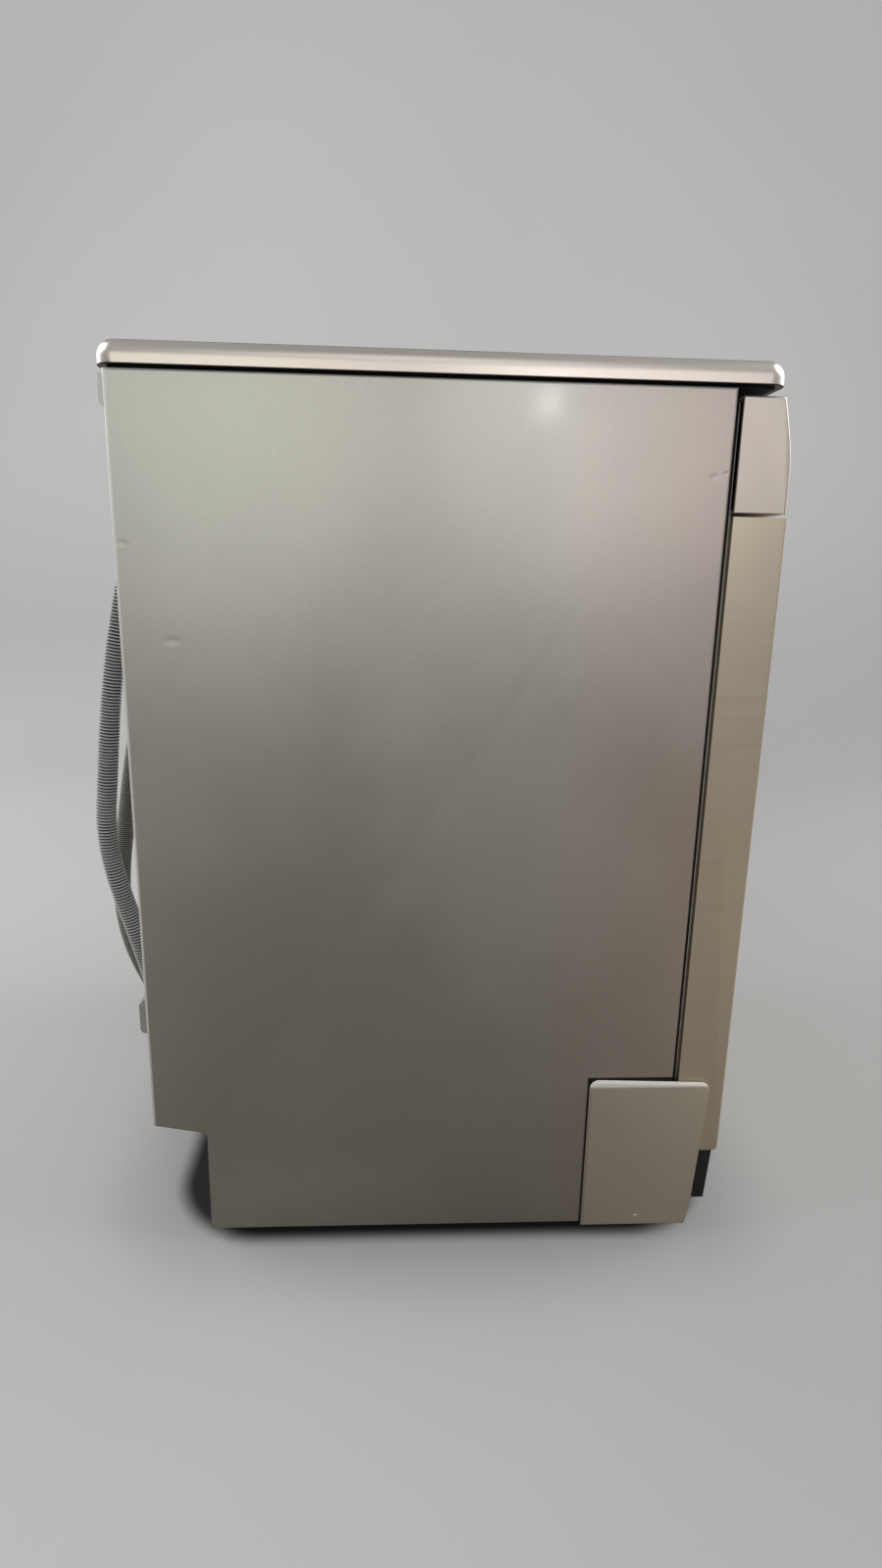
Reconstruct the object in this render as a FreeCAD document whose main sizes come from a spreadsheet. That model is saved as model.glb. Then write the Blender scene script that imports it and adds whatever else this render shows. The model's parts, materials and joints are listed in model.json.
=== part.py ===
import FreeCAD, Part
import Sketcher
import math
import os
import re
from types import SimpleNamespace

# A free-standing dishwasher in millimetres: +X is its right side, -Y its front, +Z up, the floor at z = 0.

sizes = {
    # The whole machine, and what is common to many pieces
    "body_width": 600,
    "body_depth": 580,
    "body_height": 850,
    "sheet_gauge": 1,
    "running_gap": 0.3,
    "pin_clearance": 0.05,
    "pivot_radius": 3,
    # Worktop
    "worktop_setback": 13,
    "worktop_height": 20.5,
    "worktop_skin": 3,
    "worktop_rim": 9,
    "worktop_nose": 14,
    "worktop_corner": 16,
    # Side panels, with the notch for the hoses at the rear
    "panel_inset": 4,
    "door_room": 54,
    "clip_depth": 7,
    "panel_bottom": 14,
    "panel_return": 12,
    "panel_edge": 2.5,
    "notch_depth": 52,
    "notch_low": 125.5,
    "notch_high": 135,
    "notch_corner": 8,
    "hinge_window": 190,
    # Rear sheet and the clips on it
    "rear_inset": 4,
    "bracket_length": 30,
    "bracket_depth": 5,
    "bracket_height": 25,
    "bracket_drop": 3.5,
    "clip_low": 235,
    "clip_high": 273,
    "clip_length": 24,
    "bracket_ease_share": 0.9,
    "clip_ease_share": 0.8,
    # Base tray, feet and plinth
    "tray_inset": 3,
    "tray_setback": 11,
    "tray_top": 60,
    "tray_wall": 2.5,
    "wall_gauge": 1.5,
    "foot_inset": 39,
    "foot_setback": 55,
    "foot_advance": 41,
    "foot_radius": 18,
    "foot_height": 9,
    "stem_radius": 5,
    "stem_top": 42,
    "boss_radius": 9,
    "boss_top": 46,
    "plinth_inset": 5,
    "plinth_lean": 4,
    "plinth_depth": 23,
    "plinth_low": 32,
    "plinth_high": 93,
    "plinth_wall": 2,
    "tongue_inset": 84,
    "tongue_width": 12,
    # Hinge covers beside the door's foot
    "cover_depth": 3,
    "cover_lap": 85,
    "cover_setback": 15.5,
    "cover_rake": 9.5,
    "cover_undercut": 4,
    "cover_low": 12,
    "cover_step": 30,
    "cover_high": 183,
    "cover_nose": 179,
    "cover_round": 9.5,
    "cover_edge": 2.2,
    "cover_pad": 4,
    # Tub
    "tub_inset": 25,
    "tub_gap": 33,
    "tub_low": 132.4,
    "roof_room": 26,
    "tub_round": 18,
    "tub_centre": 7,
    "frame_inset": 8,
    "lip_height": 146,
    "track_width": 31,
    "basin_half": 120,
    "basin_height": 134,
    "seal_lap": 12,
    "seal_width": 10,
    "seal_low": 122,
    "seal_rise": 13,
    # Sump, filters and softener cap
    "sump_radius": 88,
    "sump_flange": 100,
    "sump_low": 75,
    "sump_wall": 3,
    "column_radius": 10,
    "column_top": 150,
    "spindle_radius": 5,
    "spindle_top": 168,
    "plate_radius": 95,
    "cup_radius": 32,
    "cup_place": 46,
    "cup_low": 94,
    "cup_flange": 36,
    "cup_top": 138,
    "grip_height": 8,
    "grip_width": 6,
    "salt_side": 170,
    "salt_front": 130,
    "salt_radius": 26,
    "salt_wall": 4,
    "salt_low": 125,
    "salt_high": 142,
    "salt_cap_height": 4,
    # Pumps, valve and water wall in the base
    "pump_radius": 38,
    "pump_length": 120,
    "pump_height": 72,
    "drain_radius": 26,
    "drain_place": 60,
    "drain_front": 150,
    "drain_length": 55,
    "valve_place": 100,
    "valve_width": 50,
    "valve_depth": 42,
    "valve_low": 62,
    "valve_high": 104,
    "break_front": 150,
    "break_low": 250,
    "break_high": 650,
    # Door
    "door_inset": 5,
    "seal_room": 6,
    "door_bottom": 97,
    "seam_gap": 3,
    "door_edge": 2.6,
    "door_foot": 5,
    "door_flange": 12,
    "slot_top": 112,
    "pivot_setback": 6,
    "pivot_z": 103,
    "bracket_inset": 7,
    "bracket_gauge": 3,
    "bracket_end": 4.6,
    "bracket_round_share": 0.96,
    "bracket_tail": 20,
    "leg_setback": 4,
    "leg_width": 62,
    "arm_inset": 6,
    "arm_top": 300,
    "arm_hole": 12,
    "liner_inset": 8,
    "liner_drop": 8,
    "swell_inset": 26,
    "swell_low": 170,
    "swell_drop": 35,
    "swell_depth": 5,
    "swell_slope": 4,
    # Control panel
    "fascia_height": 94,
    "fascia_drop": 5.5,
    "fascia_setback": 2,
    "fascia_rise": 47,
    "fascia_rake": 10,
    "fascia_curve": 150,
    "fascia_wall": 3,
    "fascia_ease_share": 0.6,
    "fascia_slope_share": 1.6,
    "grip_half": 105,
    "grip_lift": 10,
    "grip_rise": 44,
    "grip_depth": 25,
    "grip_skin": 3,
    "button_half": 11,
    "button_rise": 5,
    "button_collar": 2,
    "button_depth": 8,
    "button_lift": 17,
    "button_place": 150,
    "button_pitch": 45,
    "window_inner": 130,
    "window_outer": 215,
    "window_lift": 9,
    "window_rise": 17,
    "window_gauge": 1.6,
    # Detergent dispenser
    "store_left": 88,
    "store_right": 82,
    "store_lift": 21,
    "store_height": 166,
    "store_face": 4,
    "store_depth": 29,
    "store_rim": 8,
    "lid_left": 78,
    "lid_right": 8,
    "lid_lift": 16,
    "lid_length": 70,
    "lid_gauge": 2.5,
    "lid_ease_share": 0.6,
    "guide_width": 3.5,
    "chamber_wall": 4,
    "rinse_side": 40,
    "rinse_drop": 38,
    "rinse_bore": 12,
    "rinse_knob": 18,
    "rinse_depth": 10,
    # Racks
    "wire_gauge": 4,
    "rack_gap": 12,
    "lower_inset": 17,
    "lower_gap": 18,
    "lower_floor": 171,
    "lower_middle": 238,
    "lower_rim": 300,
    "tine_height": 80,
    "tine_pitch": 25,
    "tine_front": 140,
    "tine_middle": 60,
    "fold_place": 60,
    "fold_height": 180,
    "fold_length": 92,
    "fold_sink_share": 0.9,
    "wheel_radius": 18,
    "wheel_setback": 42,
    "wheel_gap": 3,
    "wheel_width": 9,
    "axle_radius": 4,
    "basket_width": 78,
    "basket_inset": 8,
    "basket_half": 110,
    "basket_high": 320,
    "basket_wall": 2.5,
    "basket_handle": 380,
    "basket_post": 8,
    "upper_inset": 13,
    "upper_gap": 28,
    "upper_floor": 474,
    "upper_middle": 540,
    "upper_rim": 598,
    "rail_gap": 8,
    "rail_low": 546,
    "rail_height": 28,
    "rail_reach": 8,
    # Spray arms and the pipe that feeds them
    "blade_room": 4,
    "upper_reach": 205,
    "blade_width": 46,
    "blade_tip": 26,
    "blade_height": 10,
    "blade_ease_share": 0.3,
    "blade_low": 153,
    "hub_radius": 18,
    "hub_waist_share": 0.8,
    "hub_margin": 2.4,
    "upper_blade_low": 448,
    "feed_half": 12,
    "feed_height": 12,
    "pipe_depth": 13,
    "pipe_half": 14,
    "branch_depth": 8,
    "branch_front": 20,
    "rose_radius": 55,
    "rose_height": 12,
    "rose_ease_share": 0.6,
    "head_radius": 8,
    "head_height": 2.4,
    # Hoses behind the machine
    "drain_crest": 10.5,
    "drain_valley": 9,
    "drain_bore": 7.5,
    "inlet_crest": 9.5,
    "inlet_valley": 8.3,
    "inlet_bore": 6,
    "outlet_depth": 3,
    "elbow_share": 0.6,
    "cuff_radius": 13,
    "cuff_bore": 9.5,
    "cuff_length": 42,
    "nut_radius": 16,
    "nut_bore": 13.2,
    "nut_length": 20,
    "rib_foot": 4,
    "rib_crest": 2,
    "hook_half": 12,
    "hook_gauge": 3,
    "hook_gap": 1.4,
}

# Places that follow from the sizes
derived = {
    "worktop_front": "body_depth/2 - worktop_setback",
    "worktop_rear": "body_depth/2 - sheet_gauge",
    "panel_half": "body_width/2 - panel_inset",
    "panel_front": "body_depth/2 - door_room",
    "panel_rear": "body_depth/2 - clip_depth",
    "panel_top": "body_height - worktop_height - 2*sheet_gauge",
    "notch_front": "panel_rear - notch_depth",
    "rear_half": "panel_half - rear_inset",
    "bracket_inner": "rear_half - bracket_length",
    "bracket_rear": "panel_rear + bracket_depth",
    "bracket_high": "panel_top - bracket_drop",
    "bracket_low": "bracket_high - bracket_height",
    "clip_inner": "rear_half - clip_length",
    "tray_half": "rear_half - tray_inset",
    "foot_side": "tray_half - foot_inset",
    "plinth_front": "body_depth/2 - sheet_gauge",
    "plinth_heel": "plinth_front - plinth_lean",
    "plinth_rear": "plinth_front - plinth_depth",
    "tray_front": "plinth_rear - tray_setback",
    "foot_front": "tray_front - foot_setback",
    "foot_rear": "notch_front - foot_advance",
    "plinth_half": "tray_half - plinth_inset",
    "tongue_place": "plinth_half - tongue_inset",
    "cover_rear": "panel_front - cover_lap",
    "cover_front": "body_depth/2 - cover_setback",
    "cover_toe": "cover_front - cover_rake",
    "cover_heel": "cover_toe - cover_undercut",
    "tub_half": "panel_half - tub_inset",
    "tub_front": "panel_front - 2*sheet_gauge",
    "tub_rear": "panel_rear - tub_gap",
    "frame_half": "panel_half - frame_inset",
    "frame_high": "panel_top - wall_gauge",
    "track_height": "lip_height",
    "track_half": "tub_half - track_width",
    "seal_half": "tub_half + seal_lap",
    "break_outer": "panel_half - 2*sheet_gauge",
    "door_half": "body_width/2 - door_inset",
    "door_back": "panel_front + seal_room",
    "slot_outer": "door_half - wall_gauge",
    "pivot_y": "body_depth/2 - pivot_setback",
    "bracket_half": "panel_half - bracket_inset",
    "leg_front": "panel_front - leg_setback",
    "leg_rear": "leg_front - leg_width",
    "arm_half": "bracket_half - arm_inset",
    "liner_half": "door_half - liner_inset",
    "liner_top": "frame_high - liner_drop",
    "swell_half": "tub_half - swell_inset",
    "fascia_top": "panel_top - fascia_drop",
    "fascia_face": "body_depth/2 - fascia_setback",
    "fascia_bend": "fascia_top - fascia_rise",
    "fascia_lip": "fascia_face - fascia_rake",
    "rack_front": "tub_front - rack_gap",
    "lower_half": "tub_half - lower_inset",
    "lower_rear": "tub_rear - lower_gap",
    "wheel_place": "rack_front - wheel_setback",
    "wheel_inner": "lower_half + wheel_gap",
    "basket_right": "lower_half - basket_inset",
    "basket_left": "basket_right - basket_width",
    "upper_half": "tub_half - upper_inset",
    "upper_rear": "tub_rear - upper_gap",
    "rail_front": "tub_front - rail_gap",
    "pipe_front": "tub_rear - pipe_depth",
    "tub_top": "frame_high - roof_room",
    "seal_high": "tub_top + seal_rise",
    "bracket_run": "leg_rear - bracket_tail",
    "fascia_low": "fascia_top - fascia_height",
    "grip_low": "fascia_low + grip_lift",
    "grip_high": "grip_low + grip_rise",
    "button_height": "fascia_low + button_lift",
    "window_low": "fascia_low + window_lift",
    "window_high": "window_low + window_rise",
    "lower_reach": "pipe_front - tub_centre - blade_room",
    "branch_low": "tub_top - branch_depth",
    "door_seam": "fascia_low - seam_gap",
    "swell_high": "door_seam - swell_drop",
    "store_low": "(door_bottom + door_seam)/2 + store_lift",
    "store_high": "store_low + store_height",
    "lid_low": "store_low + lid_lift",
    "rinse_height": "store_high - rinse_drop",
}

counts = {
    "side_wires": 8,
    "floor_wires": 10,
    "tines": 11,
    "clips": 3,
    "cells": 2,
    "buttons": 3,
    "drain_ribs": 12,
    "inlet_ribs": 10,
    "rib_steps": 4,
    "hose_sides": 8,
    "nut_sides": 6,
    "round_sides": 16,
}

# A spray blade's outline: shares of the arm's reach, and shares of a width across it
blade_shares = [(0.55, -0.42, "blade_width"), (0.92, -0.25, "blade_tip"), (1, 0.35, "blade_tip"),
                (0.9, 0.9, "blade_tip"), (0.5, 0.42, "blade_width")]

doc = FreeCAD.newDocument("Dishwasher")
sheet = doc.addObject("Spreadsheet::Sheet", "Sizes")
words = {**{word: str(number) for word, number in sizes.items()},
         **{word: "=" + rule for word, rule in derived.items()}}
for row, (word, text) in enumerate(words.items(), 1):
    sheet.set(f"A{row}", word)
    sheet.set(f"B{row}", text)
    sheet.setAlias(f"B{row}", word)
doc.recompute()
s = SimpleNamespace(**{word: float(sheet.get(word)) for word in words})
nodes = {}


def bound(text):
    """The expression with each size's word pointing at its cell."""
    return re.sub(r"[a-z][a-z_]*", lambda found: "Sizes." + found[0] if found[0] in words else found[0], text)


def kept(label, item):
    """Names a finished sub-part after its node."""
    item.Label = label
    nodes[label] = item
    return item


# Bodies of sketches and features

def rectangle(left, right, low, high):
    return [(left, low), (right, low), (right, high), (left, high)]


def hexagon(radius):
    return [(f"{radius}*cos({60 * k})", f"{radius}*sin({60 * k})") for k in range(6)]


def disc(across, up, radius):
    """A round outline of flat sides, its corners on the radius."""
    step = 360 / counts["round_sides"]
    return [(f"{across} + ({radius})*cos({step * k})", f"{up} + ({radius})*sin({step * k})")
            for k in range(counts["round_sides"])]


def bore(across, up, radius):
    """A round hole of flat sides with room for a pin of the radius to turn in it."""
    return disc(across, up, f"({radius} + pin_clearance)/cos({180 / counts['round_sides']})")


def drawn(body, role, loops, lift):
    """A sketch on the body's own origin plane, lifted along it. Three texts are a circle, pairs are corners."""
    sketch = body.newObject("Sketcher::SketchObject", "Profile")
    sketch.AttachmentSupport = [(next(f for f in body.Origin.OriginFeatures if f.Role == role), "")]
    sketch.MapMode = "FlatFace"
    sketch.setExpression("AttachmentOffset.Base.z", bound(lift))

    def tie(kind, *rest):
        *rest, text = rest
        sketch.setExpression(f"Constraints[{sketch.addConstraint(Sketcher.Constraint(kind, *rest))}]", bound(text))

    for loop in loops:
        if isinstance(loop[0], str):
            ring = sketch.addGeometry(Part.Circle(FreeCAD.Vector(), FreeCAD.Vector(0, 0, 1), s.body_width))
            tie("DistanceX", -1, 1, ring, 3, s.body_width, loop[0])
            tie("DistanceY", -1, 1, ring, 3, s.body_width, loop[1])
            tie("Radius", ring, s.body_width, loop[2])
            continue
        turn = math.tau / len(loop)
        start = [FreeCAD.Vector(math.cos(turn * k), math.sin(turn * k)) * s.body_width
                 for k in range(len(loop))]
        lines = [Part.LineSegment(start[k], start[(k + 1) % len(loop)]) for k in range(len(loop))]
        edges = sketch.addGeometry(lines, False)
        for k, edge in enumerate(edges):
            sketch.addConstraint(Sketcher.Constraint("Coincident", edge, 2, edges[(k + 1) % len(loop)], 1))
            tie("DistanceX", -1, 1, edge, 1, start[k].x, loop[k][0])
            tie("DistanceY", -1, 1, edge, 1, start[k].y, loop[k][1])
    return sketch


def grow(body, role, loops, low, high):
    """Pads the loops from one place to another along the plane's axis."""
    pad = body.newObject("PartDesign::Pad", "Pad")
    pad.Profile = drawn(body, role, loops, f"-({high})" if role == "XZ_Plane" else low)
    pad.setExpression("Length", bound(f"({high}) - ({low})"))
    doc.recompute()
    return body


def carve(body, role, loops, low, high):
    """Cuts the loops away between two places along the plane's axis."""
    before = body.Shape.Volume
    pocket = body.newObject("PartDesign::Pocket", "Pocket")
    pocket.Profile = drawn(body, role, loops, f"-({high})" if role == "XZ_Plane" else low)
    pocket.setExpression("Length", bound(f"({high}) - ({low})"))
    pocket.Reversed = True
    doc.recompute()
    if body.Shape.Volume >= before:
        raise RuntimeError(f"{body.Label}: nothing was cut away")
    return body


def prism(role, loops, low, high):
    return grow(doc.addObject("PartDesign::Body", "Body"), role, loops, low, high)


def within(low, value, high):
    return low - s.pin_clearance < value < high + s.pin_clearance


def chosen(body, x=None, y=None, z=None, along=None):
    """The edges of the body inside the given span of each axis, and parallel to one where that is asked."""
    names = []
    for number, edge in enumerate(body.Tip.Shape.Edges, 1):
        box = edge.BoundBox
        spans = {"x": (box.XMin, box.XMax), "y": (box.YMin, box.YMax), "z": (box.ZMin, box.ZMax)}
        inside = all(within(want[0], end, want[-1]) for axis, want in (("x", x), ("y", y), ("z", z)) if want
                     for end in spans[axis])
        across = [axis for axis in spans if along and axis != along]
        if inside and all(spans[axis][1] - spans[axis][0] < s.pin_clearance for axis in across):
            names.append(f"Edge{number}")
    return names


def soften(body, radius, names, kind="Fillet"):
    """Rounds or bevels the named edges of the body's last feature."""
    if not names:
        raise RuntimeError(f"{body.Label}: no edge to soften")
    base = body.Tip
    feature = body.newObject("PartDesign::" + kind, kind)
    feature.Base = (base, names)
    feature.setExpression("Radius" if kind == "Fillet" else "Size", bound(radius))
    doc.recompute()
    return body


# Primitives and booleans

def box(x, y, z):
    """A block between two places on each axis."""
    item = doc.addObject("Part::Box", "Box")
    for name, axis, (low, high) in zip(("Length", "Width", "Height"), "xyz", (x, y, z)):
        item.setExpression(name, bound(f"({high}) - ({low})"))
        item.setExpression("Placement.Base." + axis, bound(low))
    return item


def rod(axis, start, radius, length, turned=False):
    """A bar along +X, +Y or +Z: truly round where something turns on it, else of flat sides."""
    item = doc.addObject("Part::Cylinder" if turned else "Part::Prism", "Rod")
    direction = FreeCAD.Vector(axis == "x", axis == "y", axis == "z")
    item.Placement = FreeCAD.Placement(FreeCAD.Vector(), FreeCAD.Rotation(FreeCAD.Vector(0, 0, 1), direction))
    if not turned:
        item.Polygon = counts["round_sides"]
    item.setExpression("Radius" if turned else "Circumradius", bound(radius))
    item.setExpression("Height", bound(length))
    for name, place in zip("xyz", start):
        item.setExpression("Placement.Base." + name, bound(place))
    return item


def fused(*parts):
    item = doc.addObject("Part::MultiFuse", "Fusion")
    item.Shapes = list(parts)
    doc.recompute()
    return item


def less(base, *tools):
    item = doc.addObject("Part::Cut", "Cut")
    item.Base = base
    item.Tool = tools[0] if len(tools) == 1 else fused(*tools)
    doc.recompute()
    return item


def mirrored(source):
    """The same piece on the machine's other side."""
    item = doc.addObject("Part::Mirroring", "Mirror")
    item.Source = source
    item.Normal = FreeCAD.Vector(1, 0, 0)
    doc.recompute()
    return item


def together(*parts):
    """Separate solids that make one sub-part."""
    item = doc.addObject("Part::Compound", "Group")
    item.Links = list(parts)
    doc.recompute()
    return item


# Cabinet

def worktop():
    low = "body_height - worktop_height"
    slab = rectangle("-body_width/2", "body_width/2", "-worktop_front", "worktop_rear")
    body = prism("XY_Plane", [slab], low, "body_height")
    soften(body, "worktop_corner", chosen(body, along="z"))
    soften(body, "worktop_nose", chosen(body, z=[s.body_height]))
    inner = rectangle("worktop_rim - body_width/2", "body_width/2 - worktop_rim",
                      "worktop_rim - worktop_front", "worktop_rear - worktop_rim")
    carve(body, "XY_Plane", [inner], low, "body_height - worktop_skin")
    kept("worktop", body)
    board = box(("worktop_rim - body_width/2", "body_width/2 - worktop_rim"),
                ("worktop_rim - worktop_front", "worktop_rear - worktop_rim"),
                ("panel_top", "body_height - worktop_skin"))
    kept("worktop_board", board)


def side_panels():
    def outline(inset):
        low, rear = f"notch_low + {inset}", f"panel_rear - {inset}"
        return [(f"{inset} - panel_front", f"panel_bottom + {inset}"),
                (f"notch_front - {inset}", f"panel_bottom + {inset}"),
                (f"notch_front - {inset}", low), (rear, f"notch_high + {inset}"),
                (rear, f"panel_top - {inset}"), (f"{inset} - panel_front", f"panel_top - {inset}")]

    body = prism("YZ_Plane", [outline("0")], "-panel_half", "panel_return - panel_half")
    soften(body, "notch_corner", chosen(body, y=[s.notch_front], z=[s.notch_low], along="x"))
    soften(body, "panel_edge", chosen(body, x=[-s.panel_half]))
    carve(body, "YZ_Plane", [outline("sheet_gauge")], "sheet_gauge - panel_half", "panel_return - panel_half")
    window = rectangle("sheet_gauge - panel_half", "panel_return - panel_half",
                       "panel_bottom + sheet_gauge", "hinge_window")
    carve(body, "XZ_Plane", [window], "-panel_front", "sheet_gauge - panel_front")
    kept("left_side_panel", body)
    kept("right_side_panel", mirrored(body))


def rear():
    skin = box(("-rear_half", "rear_half"), ("panel_rear - 2*sheet_gauge", "panel_rear - sheet_gauge"),
               ("notch_high + 2*sheet_gauge", "frame_high"))
    kept("rear_panel", skin)
    low, high = "notch_low + sheet_gauge", "notch_high + sheet_gauge"
    rise = "(notch_high - notch_low)/(panel_rear - notch_front)"
    front, back = "notch_front - sheet_gauge", "panel_rear - 2*sheet_gauge"
    section = [(f"{front} - wall_gauge", "tray_top"), (front, "tray_top"), (front, low),
               (back, f"{high} - sheet_gauge*{rise}"), (back, f"{high} + wall_gauge"),
               (f"{front} - wall_gauge", f"{low} + wall_gauge")]
    kept("base_rear_wall", prism("YZ_Plane", [section], "-rear_half", "rear_half"))

    def bracket(side):
        ends = ("-rear_half", "-bracket_inner") if side < 0 else ("bracket_inner", "rear_half")
        body = prism("YZ_Plane", [rectangle("panel_rear", "bracket_rear", "bracket_low", "bracket_high")], *ends)
        foot = chosen(body, y=[s.bracket_rear], z=[s.bracket_low])
        return soften(body, "(bracket_rear - panel_rear)*bracket_ease_share", foot)

    kept("rear_brackets", together(bracket(-1), bracket(1)))

    def clip(side):
        ends = ("-rear_half", "-clip_inner") if side < 0 else ("clip_inner", "rear_half")
        section = [("panel_rear", "clip_low"), ("body_depth/2", "clip_low"),
                   ("body_depth/2", "clip_high - panel_edge*3"), ("panel_rear", "clip_high")]
        body = prism("YZ_Plane", [section], *ends)
        foot = chosen(body, y=[s.body_depth / 2], z=[s.clip_low])
        return soften(body, "(body_depth/2 - panel_rear)*clip_ease_share", foot)

    kept("rear_clips", together(clip(-1), clip(1)))


def base():
    rear_face = "notch_front - sheet_gauge - wall_gauge"
    low = "panel_bottom + sheet_gauge"
    body = prism("XY_Plane", [rectangle("-tray_half", "tray_half", "-tray_front", rear_face)], low, "tray_top")
    inner = rectangle("tray_wall - tray_half", "tray_half - tray_wall",
                      "tray_wall - tray_front", f"{rear_face} - tray_wall")
    carve(body, "XY_Plane", [inner], f"{low} + tray_wall", "tray_top")
    places = [(x, y) for x in ("-foot_side", "foot_side") for y in ("-foot_front", "foot_rear")]
    bosses = [rectangle(f"{x} - boss_radius", f"{x} + boss_radius",
                        f"{y} - boss_radius", f"{y} + boss_radius") for x, y in places]
    grow(body, "XY_Plane", bosses, low, "boss_top")
    carve(body, "XY_Plane", [bore(x, y, "stem_radius") for x, y in places], low, "boss_top")
    kept("base_tray", body)
    names = ["left_front_foot", "left_rear_foot", "right_front_foot", "right_rear_foot"]
    for name, (x, y) in zip(names, places):
        foot = prism("XY_Plane", [hexagon("foot_radius")], "0", "foot_height")
        grow(foot, "XY_Plane", [("0", "0", "stem_radius")], "foot_height", "stem_top")
        foot.setExpression("Placement.Base.x", bound(x))
        foot.setExpression("Placement.Base.y", bound(y))
        kept(name, foot)
    section = [("-plinth_front", "plinth_high"), ("-plinth_heel", "plinth_low"), ("-plinth_rear", "plinth_low"),
               ("-plinth_rear", "plinth_high")]
    inner = [("2*plinth_wall - plinth_front", "plinth_high - plinth_wall"),
             ("2*plinth_wall - plinth_heel", "plinth_low + plinth_wall"),
             ("-plinth_rear", "plinth_low + plinth_wall"), ("-plinth_rear", "plinth_high - plinth_wall")]
    plinth = prism("YZ_Plane", [section], "-plinth_half", "plinth_half")
    carve(plinth, "YZ_Plane", [inner], "plinth_wall - plinth_half", "plinth_half - plinth_wall")
    tongue = rectangle("plinth_wall - plinth_heel", "-tray_front",
                       "plinth_low + 4*plinth_wall", "tray_top - plinth_wall")
    for side in ("-tongue_place - tongue_width", "tongue_place"):
        grow(plinth, "YZ_Plane", [tongue], side, f"{side} + tongue_width")
    kept("plinth", plinth)


def hinge_covers():
    section = [("-cover_rear", "cover_low"), ("-cover_rear", "cover_high"), ("-cover_front", "cover_nose"),
               ("-cover_toe", "cover_step"), ("-cover_heel", "cover_low")]
    body = prism("YZ_Plane", [section], "-body_width/2", "cover_depth - body_width/2")
    soften(body, "cover_round", chosen(body, z=[s.cover_nose, s.cover_high], along="x"))
    soften(body, "cover_edge", chosen(body, x=[-s.body_width / 2]), "Chamfer")
    pads = [rectangle(y, f"{y} + cover_pad", "cover_step", "cover_high - 5*cover_pad")
            for y in ("3*cover_pad - panel_front", "-cover_rear - 3*cover_pad")]
    grow(body, "YZ_Plane", pads, "cover_depth - body_width/2", "-panel_half")
    kept("left_hinge_cover", body)
    kept("right_hinge_cover", mirrored(body))


# Tub and what is fixed in it

def tub():
    outer, roof = "tub_half + sheet_gauge", "tub_top + sheet_gauge"
    span = ("-tub_front", "tub_rear")
    walls = [box(ends, span, ("tub_low", "tub_top - tub_round"))
             for ends in ((f"-({outer})", "-tub_half"), ("tub_half", outer))]
    shoulder = "tub_top - tub_round"
    section = [(f"-({outer})", shoulder), (f"-({outer})", roof), (outer, roof), (outer, shoulder),
               ("tub_half", shoulder), ("tub_half", "tub_top"), ("-tub_half", "tub_top"), ("-tub_half", shoulder)]
    ceiling = prism("XZ_Plane", [section], *span)
    corners = chosen(ceiling, x=[-s.tub_half, s.tub_half], z=[s.tub_top], along="y")
    soften(ceiling, "tub_round - sheet_gauge", corners)
    soften(ceiling, "tub_round", chosen(ceiling, z=[s.tub_top + s.sheet_gauge], along="y"))
    kept("tub_walls", together(*walls, ceiling))
    kept("tub_back", box((f"-({outer})", outer), ("tub_rear", "tub_rear + sheet_gauge"), ("tub_low", roof)))
    hole = rectangle("-tub_half", "tub_half", "lip_height", "tub_top")
    frame = prism("XZ_Plane", [rectangle("-frame_half", "frame_half", "tray_top", "frame_high"), hole],
                  "sheet_gauge - panel_front", "-tub_front")
    corners = chosen(frame, x=[-s.tub_half, s.tub_half], z=[s.tub_top], along="y")
    soften(frame, "tub_round", corners)
    kept("tub_frame", frame)
    ring = [rectangle("-seal_half", "seal_half", "seal_low", "seal_high"),
            rectangle("seal_width - seal_half", "seal_half - seal_width",
                      "seal_low + seal_width", "seal_high - seal_width")]
    kept("tub_seal", prism("XZ_Plane", ring, "sheet_gauge + running_gap - door_back", "sheet_gauge - panel_front"))
    half = [("tub_half", "track_height"), ("track_half", "track_height"), ("basin_half", "basin_height")]
    top = half + [("-" + x, z) for x, z in reversed(half)]
    under = [(x, f"{z} - wall_gauge") for x, z in reversed(top)]
    floor = prism("XZ_Plane", [top + under], *span)
    salt = ("-salt_side", "-salt_front")
    holes = [disc("0", "tub_centre", "sump_radius - sump_wall"), disc(*salt, "salt_radius + salt_wall/2")]
    carve(floor, "XY_Plane", holes, "tub_low", "track_height")
    neck = prism("XY_Plane", [disc(*salt, "salt_radius + salt_wall"), bore(*salt, "salt_radius")],
                 "salt_low", "salt_high")
    kept("tub_floor", fused(floor, neck))


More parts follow.
